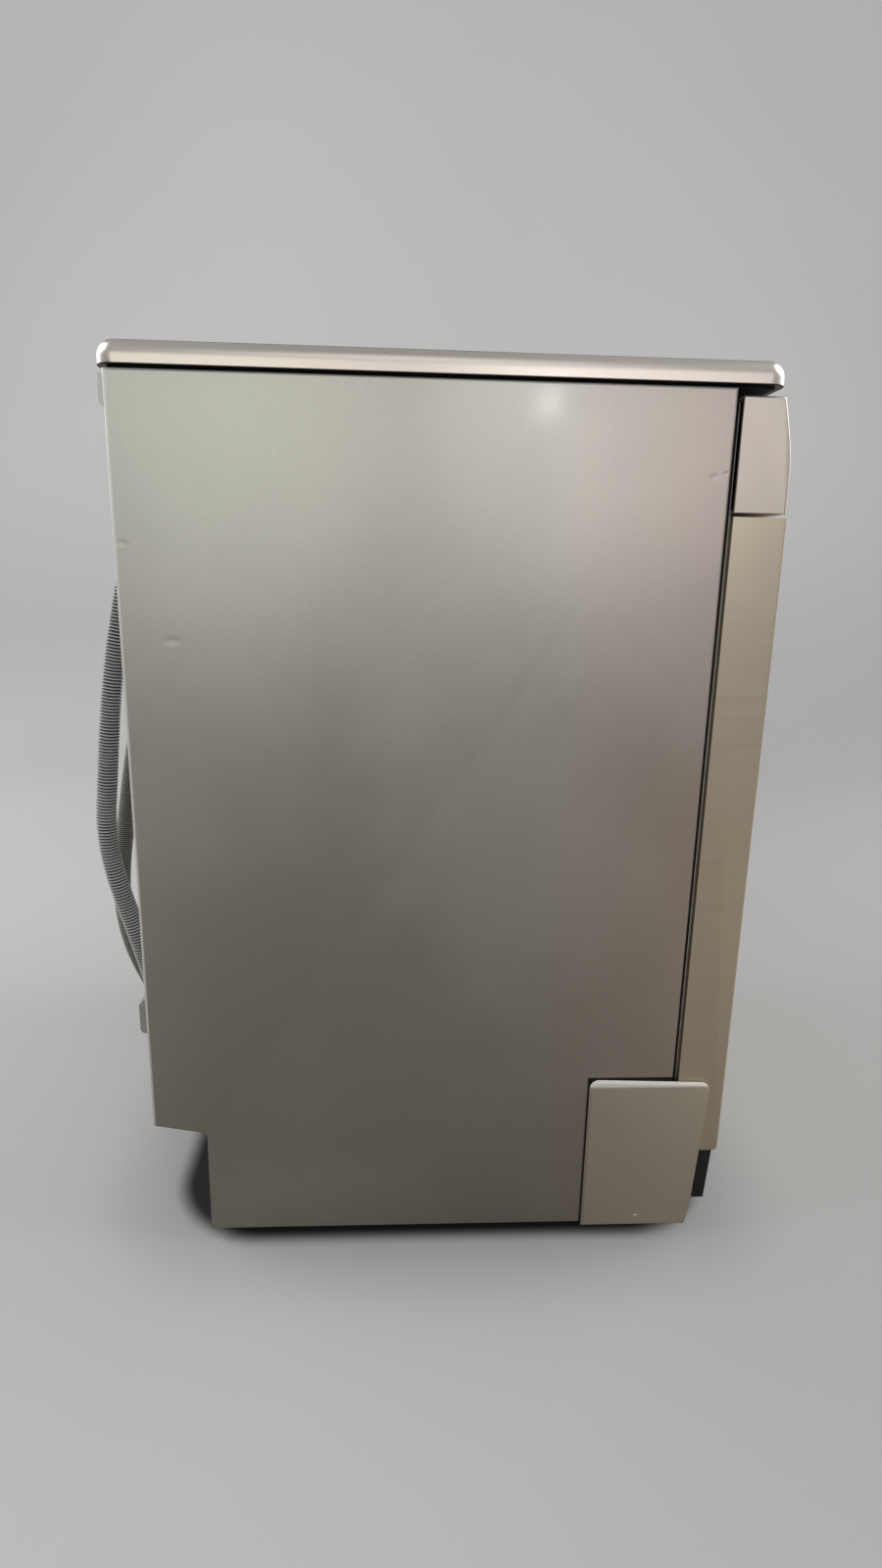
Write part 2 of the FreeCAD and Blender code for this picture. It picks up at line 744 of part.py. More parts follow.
def sump():
    centre = ("0", "tub_centre")
    under = "basin_height - wall_gauge"
    bowl = prism("XY_Plane", [disc(*centre, "sump_radius")], "sump_low", f"{under} - sump_wall")
    grow(bowl, "XY_Plane", [disc(*centre, "sump_flange")], f"{under} - sump_wall", under)
    carve(bowl, "XY_Plane", [disc(*centre, "sump_radius - sump_wall")], "sump_low + sump_wall", under)
    grow(bowl, "XY_Plane", [disc(*centre, "column_radius")], "sump_low", "column_top")
    grow(bowl, "XY_Plane", [(*centre, "spindle_radius")], "column_top", "spindle_top")
    kept("sump", bowl)
    plate = box(("-plate_radius", "plate_radius"), ("tub_centre - plate_radius", "tub_centre + plate_radius"),
                ("basin_height", "basin_height + wall_gauge"))
    column_hole = rod("z", (*centre, "tub_low"), "column_radius + running_gap", "column_top")
    cup_hole = rod("z", ("cup_place", "tub_centre", "tub_low"), "cup_radius + 3*running_gap", "column_top")
    kept("filter_plate", less(plate, column_hole, cup_hole))
    ledge = "basin_height + wall_gauge + running_gap"
    cup = prism("XY_Plane", [("cup_place", "tub_centre", "cup_radius")], "cup_low", ledge)
    grow(cup, "XY_Plane", [disc("cup_place", "tub_centre", "cup_flange")], ledge, "cup_top")
    grip = box(("cup_place - cup_radius*2/3", "cup_place + cup_radius*2/3"),
               ("tub_centre - grip_width/2", "tub_centre + grip_width/2"), ("cup_top", "cup_top + grip_height"))
    kept("filter_cup", fused(cup, grip))
    lid = "salt_high + running_gap"
    salt = ("-salt_side", "-salt_front")
    cap = prism("XY_Plane", [(*salt, "salt_radius")], "salt_low + salt_wall", lid)
    grow(cap, "XY_Plane", [disc(*salt, "salt_radius + salt_wall")], lid, f"{lid} + salt_cap_height")
    wing = box(("-salt_side - salt_radius*2/3", "salt_radius*2/3 - salt_side"),
               ("-salt_front - grip_width/2", "grip_width/2 - salt_front"),
               (f"{lid} + salt_cap_height", f"{lid} + salt_cap_height + grip_width/2"))
    kept("salt_cap", fused(cap, wing))


def water_works():
    floor = "panel_bottom + sheet_gauge + tray_wall"
    start = "sump_radius + running_gap"
    motor = rod("x", (start, "tub_centre", "pump_height"), "pump_radius", "pump_length")
    saddle = box((f"{start} + pump_radius", f"{start} + pump_radius*2"),
                 ("tub_centre - pump_radius/2", "tub_centre + pump_radius/2"), (floor, "pump_height"))
    kept("circulation_pump", fused(motor, saddle))
    pump = rod("y", ("-drain_place", "-drain_front", "tray_top"), "drain_radius", "drain_length")
    stand = box(("-drain_place - drain_radius/2", "drain_radius/2 - drain_place"),
                ("drain_length/3 - drain_front", "drain_length*2/3 - drain_front"), (floor, "tray_top"))
    kept("drain_pump", fused(pump, stand))
    face = "notch_front - sheet_gauge - wall_gauge"
    valve = box(("-valve_place - valve_width/2", "valve_width/2 - valve_place"),
                (f"{face} - valve_depth", face), ("valve_low", "valve_high"))
    coil = rod("z", ("-valve_place", f"{face} - valve_depth/2", "valve_high"), "valve_width/4", "valve_width/3")
    kept("inlet_valve", fused(valve, coil))
    kept("water_wall", prism("YZ_Plane", [rectangle("-break_front", "break_front", "break_low", "break_high")],
                             "-break_outer", "-tub_half - sheet_gauge"))


def feed_pipe():
    riser = box(("-pipe_half", "pipe_half"), ("pipe_front", "tub_rear"), ("lip_height + tray_wall", "branch_low"))
    branch = box(("-feed_half", "feed_half"), ("-branch_front", "tub_rear"), ("branch_low", "tub_top"))
    low = "branch_low - rose_height - 2*running_gap - head_height"
    pin = rod("z", ("0", "tub_centre", low), "axle_radius", f"branch_low - ({low})", turned=True)
    head = rod("z", ("0", "tub_centre", low), "head_radius", "head_height")
    kept("spray_feed_pipe", fused(riser, branch, pin, head))
    top = "branch_low - running_gap"
    rose = prism("XY_Plane", [disc("0", "tub_centre", "rose_radius")], f"{top} - rose_height", top)
    rim = chosen(rose, z=[s.branch_low - s.running_gap - s.rose_height])
    soften(rose, "rose_height*rose_ease_share", rim, "Chamfer")
    carve(rose, "XY_Plane", [bore("0", "tub_centre", "axle_radius")], f"{top} - rose_height", top)
    kept("top_spray", rose)


def rails():
    """Three nested runners each side: a fixed channel, a middle channel and the bar on the upper rack."""
    def channel(outer, open_edge, low, high):
        wall = "sheet_gauge"
        return [(f"-({outer})", low), (f"-({open_edge})", low), (f"-({open_edge})", f"{low} + {wall}"),
                (f"{wall} - ({outer})", f"{low} + {wall}"), (f"{wall} - ({outer})", f"{high} - {wall}"),
                (f"-({open_edge})", f"{high} - {wall}"), (f"-({open_edge})", high), (f"-({outer})", high)]

    step = "(sheet_gauge + running_gap)"
    ends = ("-rail_front", "rail_front")
    section = channel("tub_half", "tub_half - rail_reach", "rail_low", "rail_low + rail_height")
    fixed = prism("XZ_Plane", [section], *ends)
    slide = prism("XZ_Plane", [channel(f"tub_half - {step}", "tub_half - rail_reach", f"rail_low + {step}",
                                       f"rail_low + rail_height - {step}")], *ends)
    kept("left_rail", fixed)
    kept("right_rail", mirrored(fixed))
    kept("middle_slides", together(slide, mirrored(slide)))
    return f"tub_half - 2*{step}", f"rail_low + 2*{step}", f"rail_low + rail_height - 2*{step}"


# Door

def hinges():
    middle = ("-pivot_y", "pivot_z")
    section = [("-pivot_y - bracket_end", "pivot_z - bracket_end"), ("-leg_front", "pivot_z - bracket_end"),
               ("-leg_front", "panel_bottom + sheet_gauge"), ("-leg_rear", "panel_bottom + sheet_gauge"),
               ("-leg_rear", "pivot_z - bracket_end"), ("-bracket_run", "pivot_z - bracket_end"),
               ("-bracket_run", "pivot_z + bracket_end"), ("-pivot_y - bracket_end", "pivot_z + bracket_end")]
    plate = prism("YZ_Plane", [section], "-bracket_half - bracket_gauge", "-bracket_half")
    soften(plate, "bracket_end*bracket_round_share", chosen(plate, y=[-s.pivot_y - s.bracket_end], along="x"))
    grow(plate, "YZ_Plane", [(*middle, "pivot_radius")], "-bracket_half", "bracket_gauge/2 - arm_half")
    kept("hinge_brackets", together(plate, mirrored(plate)))
    web = rectangle("sheet_gauge - body_depth/2", "-door_back - sheet_gauge",
                    "door_bottom + sheet_gauge", "arm_top")
    window = rectangle("arm_hole - body_depth/2", "-door_back - arm_hole",
                       "pivot_z + 2*arm_hole", "arm_top - arm_hole")
    eye = (*middle, "pivot_radius + pin_clearance")
    arm = prism("YZ_Plane", [web, eye, window], "-arm_half - bracket_gauge", "-arm_half")
    kept("hinge_arms", together(arm, mirrored(arm)))


def store_hole():
    """The outline of the dispenser's body where it passes through the liner."""
    return rectangle("store_rim - store_left", "store_right - store_rim",
                     "store_low + store_rim", "store_high - store_rim")


def door():
    front, back = "-body_depth/2", "-door_back"
    body = prism("YZ_Plane", [rectangle(front, back, "door_bottom", "door_seam")], "-door_half", "door_half")
    soften(body, "door_foot", chosen(body, y=[-s.body_depth / 2], z=[s.door_bottom], along="x"))
    soften(body, "door_edge", chosen(body, y=[-s.body_depth / 2], x=[-s.door_half, s.door_half], along="z"))
    inside, face = "door_bottom + sheet_gauge", f"{front} + sheet_gauge"
    under = "door_seam - sheet_gauge"
    cavity = [(face, f"{inside} + door_foot"), (f"{face} + door_foot", inside), (f"{back} - sheet_gauge", inside),
              (f"{back} - sheet_gauge", under), (f"{face} + door_edge", under), (face, f"{under} - door_edge")]
    carve(body, "YZ_Plane", [cavity], "sheet_gauge - door_half", "door_half - sheet_gauge")
    opening = rectangle("door_flange - door_half", "door_half - door_flange", inside, "door_seam - door_flange")
    carve(body, "XZ_Plane", [opening], f"{back} - sheet_gauge", back)
    slots = [rectangle("-slot_outer", "door_flange - door_half", "door_bottom", "slot_top"),
             rectangle("door_half - door_flange", "slot_outer", "door_bottom", "slot_top")]
    carve(body, "XZ_Plane", slots, face, back)
    kept("door_outer_panel", body)

    face = "sheet_gauge - door_back"
    plate = rectangle("-liner_half", "liner_half", f"{inside} + running_gap", "liner_top")
    liner = prism("XZ_Plane", [plate], back, face)
    swell = rectangle("-swell_half", "swell_half", "swell_low", "swell_high")
    grow(liner, "XZ_Plane", [swell], face, f"{face} + swell_depth")
    soften(liner, "swell_slope", chosen(liner, y=[s.sheet_gauge + s.swell_depth - s.door_back]), "Chamfer")
    inset = "(swell_slope + sheet_gauge)"
    hollow = rectangle(f"{inset} - swell_half", f"swell_half - {inset}",
                       f"swell_low + {inset}", f"swell_high - {inset}")
    carve(liner, "XZ_Plane", [hollow], back, "swell_depth - door_back")
    carve(liner, "XZ_Plane", [store_hole()], back, f"{face} + swell_depth")
    kept("door_liner", liner)


def control_panel():
    section = [("-door_back", "fascia_low"), ("-fascia_face", "fascia_low"), ("-fascia_face", "fascia_bend"),
               ("-fascia_lip", "fascia_top"), ("-door_back", "fascia_top")]
    body = prism("YZ_Plane", [section], "-door_half", "door_half")
    soften(body, "fascia_curve", chosen(body, y=[-s.fascia_face], z=[s.fascia_bend], along="x"))
    soften(body, "door_edge", chosen(body, y=[-s.fascia_lip], z=[s.fascia_top], along="x"))
    for side in (-s.door_half, s.door_half):
        front = chosen(body, y=[-s.fascia_face, -s.fascia_lip - s.door_edge], x=[side])
        soften(body, "door_edge*fascia_ease_share", front, "Chamfer")
    wall = "fascia_wall"
    hollow = [("-door_back", f"fascia_low + {wall}"), (f"{wall} - fascia_face", f"fascia_low + {wall}"),
              (f"{wall} - fascia_face", f"fascia_bend - 2*{wall}"),
              (f"{wall}*fascia_slope_share - fascia_lip", f"fascia_top - {wall}"),
              ("-door_back", f"fascia_top - {wall}")]
    carve(body, "YZ_Plane", [hollow], f"{wall} - door_half", f"door_half - {wall}")
    pocket_back = "grip_depth - fascia_face"
    pocket = rectangle("-grip_half - grip_skin", "grip_half + grip_skin", "fascia_low", "grip_high + grip_skin")
    grow(body, "XZ_Plane", [pocket], f"{wall} - fascia_face", f"{pocket_back} + grip_skin")
    grip = rectangle("-grip_half", "grip_half", "grip_low", "grip_high")
    carve(body, "XZ_Plane", [grip], "-body_depth/2", pocket_back)
    places = [f"button_place + {k}*button_pitch" for k in range(counts["buttons"])]
    half = ("(button_half + running_gap)", "(button_rise + running_gap)")
    carve(body, "XZ_Plane", [rectangle(f"{x} - {half[0]}", f"{x} + {half[0]}", f"button_height - {half[1]}",
                                       f"button_height + {half[1]}") for x in places],
          "-fascia_face", "button_depth - fascia_face")
    glass = ("-window_outer", "-window_inner", "window_low", "window_high")
    carve(body, "XZ_Plane", [rectangle(*glass)], "-fascia_face", "window_gauge - fascia_face")
    kept("control_panel", body)
    kept("display_window", box(glass[:2], ("-fascia_face", "window_gauge - fascia_face"), glass[2:]))
    for name, x in zip(("power_button", "program_button", "start_button"), places):
        rise = ("button_height - button_rise", "button_height + button_rise")
        cap = prism("XZ_Plane", [rectangle(f"{x} - button_half", f"{x} + button_half", *rise)],
                    "-fascia_face - running_gap", "button_depth - fascia_face")
        soften(cap, "running_gap*2", chosen(cap, y=[-s.fascia_face - s.running_gap]), "Chamfer")
        back = f"{wall} + running_gap - fascia_face"
        collar = rectangle(f"{x} - button_half - button_collar", f"{x} + button_half + button_collar", *rise)
        grow(cap, "XZ_Plane", [collar], back, f"{back} + sheet_gauge")
        kept(name, cap)


def dispenser():
    face = "sheet_gauge + swell_depth - door_back"
    front = f"{face} + store_face"
    body = prism("XZ_Plane", [rectangle("-store_left", "store_right", "store_low", "store_high")], face, front)
    grow(body, "XZ_Plane", [store_hole()], f"{face} - store_depth", face)
    rise = ("store_low + store_rim", "store_high - store_rim")
    guides = [rectangle("-lid_left - guide_width - running_gap", "-lid_left - running_gap", *rise),
              rectangle("running_gap - lid_right", "running_gap + guide_width - lid_right", *rise)]
    grow(body, "XZ_Plane", guides, front, f"{front} + lid_gauge + 2*running_gap")
    chamber = rectangle("chamber_wall - lid_left", "-lid_right - chamber_wall", "lid_low + chamber_wall",
                        "lid_low + lid_length - chamber_wall")
    carve(body, "XZ_Plane", [chamber], f"{face} - store_depth + chamber_wall", front)
    carve(body, "XZ_Plane", [bore("rinse_side", "rinse_height", "rinse_bore")], f"{front} - rinse_depth", front)
    kept("dispenser_body", body)
    lid = prism("XZ_Plane", [rectangle("-lid_left", "-lid_right", "lid_low", "lid_low + lid_length")],
                f"{front} + running_gap", f"{front} + running_gap + lid_gauge")
    lid_face = s.sheet_gauge + s.swell_depth - s.door_back + s.store_face + s.running_gap + s.lid_gauge
    soften(lid, "lid_gauge*lid_ease_share", chosen(lid, y=[lid_face]))
    kept("dispenser_lid", lid)
    stem = rod("y", ("rinse_side", f"{front} - rinse_depth + running_gap", "rinse_height"), "rinse_bore",
               "rinse_depth", turned=True)
    knob = rod("y", ("rinse_side", f"{front} + running_gap", "rinse_height"), "rinse_knob", "lid_gauge")
    kept("rinse_cap", fused(stem, knob))


# Racks of straight wires that lie on one another

def wires(count, low, high):
    """Even places for wires, each the text of its lower edge."""
    return [f"{low} + ({high} - wire_gauge - ({low}))*{k}/{count - 1}" for k in range(count)]


def wire(low):
    return (low, f"{low} + wire_gauge")


def rack_wires(half, rear_edge, floor, middle, rim):
    """Lengthwise wires, crosswise wires on them, uprights round the edge, and two hoops."""
    left, right = f"-{half}", half
    front = "-rack_front"
    second = f"{floor} + wire_gauge"
    inner_x = (f"{left} + wire_gauge", f"{right} - wire_gauge")
    inner_y = (f"{front} + wire_gauge", f"{rear_edge} - wire_gauge")
    across = wires(counts["floor_wires"], f"{left} + 3*wire_gauge", f"{right} - 3*wire_gauge")
    behind = wires(counts["side_wires"], f"{front} + 2*wire_gauge", f"{rear_edge} - 2*wire_gauge")
    bars = [box(wire(x), inner_y, wire(floor)) for x in across]
    bars += [box(inner_x, wire(y), wire(second)) for y in behind]
    for x in across:
        bars += [box(wire(x), ends, (floor, rim)) for ends in (wire(front), (inner_y[1], rear_edge))]
    for y in behind:
        bars += [box(ends, wire(y), (floor, rim)) for ends in (wire(left), (inner_x[1], right))]
    for height in (middle, rim):
        inside = "wire_gauge" if height == middle else "0"
        bars += [box((f"{left} + {inside}", f"{right} - {inside}"), ends, wire(height))
                 for ends in (wire(f"{front} + {inside}"), wire(f"{rear_edge} - wire_gauge - {inside}"))]
        span = (f"{front} + wire_gauge + {inside}", f"{rear_edge} - wire_gauge - {inside}")
        bars += [box(ends, span, wire(height))
                 for ends in (wire(f"{left} + {inside}"), wire(f"{right} - wire_gauge - {inside}"))]
    return bars


def lower_rack():
    bars = rack_wires("lower_half", "lower_rear", "lower_floor", "lower_middle", "lower_rim")
    top = "lower_floor + wire_gauge"
    for row in ("-tine_front", "-tine_middle"):
        for x in range(counts["tines"]):
            place = f"2*tine_pitch - lower_half + {x}*tine_pitch"
            bars.append(box(wire(place), wire(row), (top, f"{top} + tine_height")))
        ends = ("tine_pitch - lower_half", "basket_left - tine_pitch")
        bars.append(box(ends, wire(f"{row} + wire_gauge"), wire(top)))
    for k in range(counts["clips"]):
        start = f"2*tine_pitch - lower_half + {k}*4*tine_pitch + 2*wire_gauge"
        clip = [rectangle("fold_place - wire_gauge", "fold_place + 2*wire_gauge",
                          top, "fold_height + 2*wire_gauge"),
                bore("fold_place + wire_gauge/2", "fold_height + wire_gauge/2", "wire_gauge/2")]
        bars.append(prism("YZ_Plane", clip, start, f"{start} + 2*wire_gauge"))
    axle_height = "track_height + running_gap + wheel_radius"
    for side in (-1, 1):
        for y in ("-wheel_place", "wheel_place"):
            inner, outer = "lower_half - wire_gauge", "wheel_inner - running_gap*2"
            ends = (inner, outer) if side > 0 else (f"-({outer})", f"-({inner})")
            bars.append(box(ends, (f"{y} - axle_radius*2", f"{y} + axle_radius*2"),
                            (f"{axle_height} - axle_radius*2", "lower_middle + wire_gauge")))
            start = outer if side > 0 else "-(wheel_inner + wheel_width + running_gap)"
            bars.append(rod("x", (start, y, axle_height), "axle_radius", "wheel_width + 3*running_gap"))
    kept("lower_rack", together(*bars))
    for name, y in (("front_wheels", "-wheel_place"), ("rear_wheels", "wheel_place")):
        pair = []
        for start in ("wheel_inner", "-wheel_inner - wheel_width"):
            wheel = [(y, axle_height, "wheel_radius"), bore(y, axle_height, "axle_radius")]
            pair.append(prism("YZ_Plane", wheel, start, f"{start} + wheel_width"))
        kept(name, together(*pair))
    row = [f"2*tine_pitch - lower_half + {k}*tine_pitch" for k in range(counts["tines"])]
    rise = ("fold_height + wire_gauge*fold_sink_share", "fold_height + fold_length")
    comb = [box(wire(x), wire("fold_place"), rise) for x in row]
    comb.append(rod("x", ("tine_pitch - lower_half", "fold_place + wire_gauge/2", "fold_height + wire_gauge/2"),
                    "wire_gauge/2", "basket_left + lower_half - 2*tine_pitch", turned=True))
    kept("folding_tines", together(*comb))


def cutlery_basket():
    low = "lower_floor + 2*wire_gauge + running_gap"
    ends = ("basket_left", "basket_right")
    body = prism("XY_Plane", [rectangle(*ends, "-basket_half", "basket_half")], low, "basket_high")
    soften(body, "2*basket_wall", chosen(body, along="z"))
    cells = []
    for k in range(counts["cells"]):
        near = f"basket_wall - basket_half + {k}*(basket_half - basket_wall/2)"
        cells.append(rectangle("basket_left + basket_wall", "basket_right - basket_wall",
                               near, f"{near} + basket_half - 3*basket_wall/2"))
    carve(body, "XY_Plane", cells, f"{low} + basket_wall", "basket_high")
    arch = [("basket_left", "basket_high"), ("basket_left", "basket_handle - basket_post"),
            ("basket_left + basket_post", "basket_handle"), ("basket_right - basket_post", "basket_handle"),
            ("basket_right", "basket_handle - basket_post"), ("basket_right", "basket_high"),
            ("basket_right - basket_post", "basket_high"),
            ("basket_right - basket_post", "basket_handle - 3*basket_post/2"),
            ("basket_right - 3*basket_post/2", "basket_handle - basket_post"),
            ("basket_left + 3*basket_post/2", "basket_handle - basket_post"),
            ("basket_left + basket_post", "basket_handle - 3*basket_post/2"),
            ("basket_left + basket_post", "basket_high")]
    handle = prism("XZ_Plane", [arch], "-basket_wall", "basket_wall")
    kept("cutlery_basket", fused(body, handle))


def upper_rack(runner):
    bars = rack_wires("upper_half", "upper_rear", "upper_floor", "upper_middle", "upper_rim")
    outer, low, high = runner
    for ends in (("upper_half", outer), (f"-({outer})", "-upper_half")):
        bars.append(box(ends, ("-rail_front", "rail_front"), (low, high)))
    below = "upper_floor - feed_height"
    feed = box(("-feed_half", "feed_half"), ("tub_centre - hub_radius", "pipe_front - running_gap"),
               (below, "upper_floor"))
    low = "upper_blade_low - hub_margin - running_gap - head_height"
    pin = rod("z", ("0", "tub_centre", low), "spindle_radius", f"{below} - ({low})", turned=True)
    head = rod("z", ("0", "tub_centre", low), "head_radius", "head_height")
    kept("upper_rack", together(*bars, fused(feed, pin, head)))


# Spray arms

def spray_arm(label, reach, low):
    """Two tapered blades that lean opposite ways round a hub."""
    half = [("hub_radius*hub_waist_share", "-blade_width/2"),
            *[(f"{reach}*{along}", f"{across}*{wide}") for along, across, wide in blade_shares],
            ("hub_radius*hub_waist_share", "blade_width/2")]
    outline = half + [(f"-({x})", f"-({y})") for x, y in half]
    blade = prism("XY_Plane", [outline], low, f"{low} + blade_height")
    top = chosen(blade, z=[getattr(s, low) + s.blade_height])
    soften(blade, "blade_height*blade_ease_share", top, "Chamfer")
    hub = (f"{low} - hub_margin", f"{low} + blade_height + hub_margin")
    grow(blade, "XY_Plane", [disc("0", "0", "hub_radius")], *hub)
    carve(blade, "XY_Plane", [bore("0", "0", "spindle_radius")], *hub)
    blade.setExpression("Placement.Base.y", bound("tub_centre"))
    kept(label, blade)


# Hoses: straight runs joined by tangent arcs

drain_route = [(-150, 268, 82), (-150, 290, 113), (-150, 303, 152), (-149, 313, 205), (-150, 329, 270),
               (-151, 350, 345), (-150, 357, 398), (-150, 350, 462), (-151, 341, 545),
               (-149, 326, 630), (-138, 312, 695), (-92, 302, 750), (-18, 298, 777), (62, 299, 775),
               (136, 302, 745), (181, 306, 688), (191, 309, 616), (190, 308, 540), (187, 305, 465),
               (190, 303, 390), (189, 302, 318)]
inlet_route = [(-100, 268, 84), (-100, 297, 128), (-99, 331, 184), (-100, 356, 245), (-101, 362, 310),
               (-100, 352, 385), (-101, 338, 465), (-99, 320, 545), (-94, 306, 618), (-66, 300, 676),
               (-14, 297, 712), (50, 297, 716), (108, 300, 688), (142, 303, 634), (147, 306, 566),
               (144, 305, 496), (146, 303, 426), (148, 302, 360), (145, 301, 298)]
arc_share = 0.45


def path_of(route):
    """The route's wire, its arcs' radii, and each edge in order."""
    points = [FreeCAD.Vector(*p) for p in route]
    edges, radii, here = [], [], points[0]
    for before, corner, after in zip(points, points[1:], points[2:]):
        toward, onward = (corner - before).normalize(), (after - corner).normalize()
        turn = toward.getAngle(onward)
        reach = arc_share * min((corner - before).Length, (after - corner).Length)
        radius = reach / math.tan(turn / 2)
        start, end = corner - toward * reach, corner + onward * reach
        middle = (start + end) / 2
        centre = corner + (middle - corner).normalize() * math.hypot(radius, reach)
        crest = centre + (corner - centre).normalize() * radius
        edges += [Part.LineSegment(here, start).toShape(), Part.Arc(start, crest, end).toShape()]
        radii.append(radius)
        here = end
    edges.append(Part.LineSegment(here, points[-1]).toShape())
    return edges, radii


def stations(edges, distances):
    """The place and heading at each distance along the edges."""
    found, edge_start, index = [], 0, 0
    for distance in distances:
        while distance > edge_start + edges[index].Length and index < len(edges) - 1:
            edge_start += edges[index].Length
            index += 1
        edge = edges[index]
        parameter = edge.getParameterByLength(min(distance - edge_start, edge.Length))
        found.append((edge.valueAt(parameter), edge.tangentAt(parameter)))
    return found


def around(radius, sides):
    """The closed corners of a polygon on a circle about the origin."""
    turns = [math.tau * k / sides for k in range(sides + 1)]
    return [FreeCAD.Vector(radius * math.cos(turn), radius * math.sin(turn)) for turn in turns]


def ring_at(place, heading, radius, sides):
    """A polygon square to the heading, started on the side away from the machine."""
    side = FreeCAD.Vector(0, 1, 0)
    side = (side - heading * side.dot(heading)).normalize()
    ring = Part.makePolygon(around(radius, sides))
    ring.Placement = FreeCAD.Placement(place, FreeCAD.Rotation(side, heading.cross(side), heading, "XYZ"))
    return ring


def ribbed_hose(label, route, crest, valley, inside, ribs):
    edges, radii = path_of(route)
    length = sum(edge.Length for edge in edges)
    plain = 2 * crest
    pitch = (length - 2 * plain) / ribs
    fine = counts["rib_steps"]
    between = [plain + k * pitch / fine for k in range(fine * ribs + 1)]
    line = stations(edges, [0, plain / 2, *between, length - plain / 2, length])
    core, hollow = (Part.makeLoft([ring_at(*place, radius, counts["hose_sides"]) for place in line], True, True)
                    for radius in (valley, inside))
    collars = []
    for place, heading in line[2 + fine // 2:-2:fine]:
        spread = ((-s.rib_foot, valley + s.running_gap), (-s.rib_crest, crest), (s.rib_crest, crest),
                  (s.rib_foot, valley + s.running_gap))
        rings = [ring_at(place + heading * step, heading, radius, counts["round_sides"])
                 for step, radius in spread]
        collars.append(Part.makeLoft(rings, True, True))
    item = doc.addObject("Part::Feature", "Hose")
    item.Shape = core.fuse(collars).cut(hollow)
    kept(label, item)
    section = counts["hose_sides"] / 2 * math.sin(math.tau / counts["hose_sides"]) * valley ** 2
    print(f"{label}: {length:.0f} long, tightest radius {min(radii):.0f}, {len(collars)} ribs with"
          f" {pitch - 2 * s.rib_foot:.1f} between, core volume {core.Volume / (section * length):.4f}"
          " of its section times its length")
    return line[0], line[-1]


def outlet(start, radius):
    """A moulded elbow from the base's rear wall: a square socket and a stub that meets the hose square."""
    place, heading = start
    run = (place.y - s.notch_front + s.sheet_gauge) * s.elbow_share
    corner = place - heading * run
    wide = radius + s.outlet_depth
    low = FreeCAD.Vector(corner.x - wide, s.notch_front - s.sheet_gauge, corner.z - wide)
    socket = Part.makeBox(2 * wide, corner.y - low.y + radius, 2 * wide, low)
    return socket.fuse(Part.makeCylinder(radius, run, corner, heading)).removeSplitter()


def end_piece(label, end, radius, inside, length, sides=None):
    """The fitting on a hose's far end, square to it."""
    place, heading = end
    if sides:
        blank = Part.Face(Part.makePolygon(around(radius, sides))).extrude(FreeCAD.Vector(0, 0, length))
    else:
        blank = Part.makeCylinder(radius, length)
    shape = blank.cut(Part.makeCylinder(inside, length))
    item = doc.addObject("Part::Feature", "End")
    item.Shape = shape
    item.Placement = FreeCAD.Placement(place, FreeCAD.Rotation(FreeCAD.Vector(0, 0, 1), heading))
    kept(label, item)


def hook(place, axis, radius):
    """A cradle round a hose: open at the top under a bend, to the rear beside a straight end."""
    room = radius + (s.hook_gap if axis == "x" else 2 * s.running_gap)
    reach = {name: s.hook_half if name == axis else room + s.hook_gauge for name in "xz"}
    start = s.panel_rear - s.sheet_gauge
    block = Part.makeBox(2 * reach["x"], place.y + room + s.hook_gauge - start, 2 * reach["z"],
                         FreeCAD.Vector(place.x - reach["x"], start, place.z - reach["z"]))
    if axis == "x":
        gap = Part.makeBox(2 * reach["x"], 2 * room, room + reach["z"],
                           FreeCAD.Vector(place.x - reach["x"], place.y - room, place.z - room))
    else:
        gap = Part.makeBox(2 * room, 2 * room + s.hook_gauge, 2 * reach["z"],
                           FreeCAD.Vector(place.x - room, place.y - room, place.z - reach["z"]))
    return block.cut(gap)


def hoses():
    drain = ribbed_hose("drain_hose", drain_route, s.drain_crest, s.drain_valley, s.drain_bore,
                        counts["drain_ribs"])
    inlet = ribbed_hose("inlet_hose", inlet_route, s.inlet_crest, s.inlet_valley, s.inlet_bore,
                        counts["inlet_ribs"])
    item = doc.addObject("Part::Feature", "Outlets")
    item.Shape = Part.makeCompound([outlet(drain[0], s.drain_crest), outlet(inlet[0], s.inlet_crest)])
    kept("hose_outlets", item)
    cuff_middle = drain[1][0] + drain[1][1] * s.cuff_length / 2
    nut_middle = inlet[1][0] + inlet[1][1] * s.nut_length / 2
    hooks = [hook((FreeCAD.Vector(*drain_route[12]) + FreeCAD.Vector(*drain_route[13])) / 2, "x", s.drain_crest),
             hook((FreeCAD.Vector(*inlet_route[10]) + FreeCAD.Vector(*inlet_route[11])) / 2, "x", s.inlet_crest),
             hook(cuff_middle, "z", s.cuff_radius), hook(nut_middle, "z", s.nut_radius)]
    clips = doc.addObject("Part::Feature", "Hooks")
    clips.Shape = Part.makeCompound(hooks)
    kept("hose_hooks", clips)
    end_piece("drain_hose_end", drain[1], s.cuff_radius, s.cuff_bore, s.cuff_length)
    end_piece("inlet_hose_nut", inlet[1], s.nut_radius, s.nut_bore, s.nut_length,
              counts["nut_sides"])


worktop()
side_panels()
rear()
base()
hinge_covers()
tub()
sump()
water_works()
feed_pipe()
inner_runner = rails()
hinges()
door()
control_panel()
dispenser()
lower_rack()
cutlery_basket()
upper_rack(inner_runner)
spray_arm("lower_spray_arm", "lower_reach", "blade_low")
spray_arm("upper_spray_arm", "upper_reach", "upper_blade_low")
hoses()
doc.recompute()

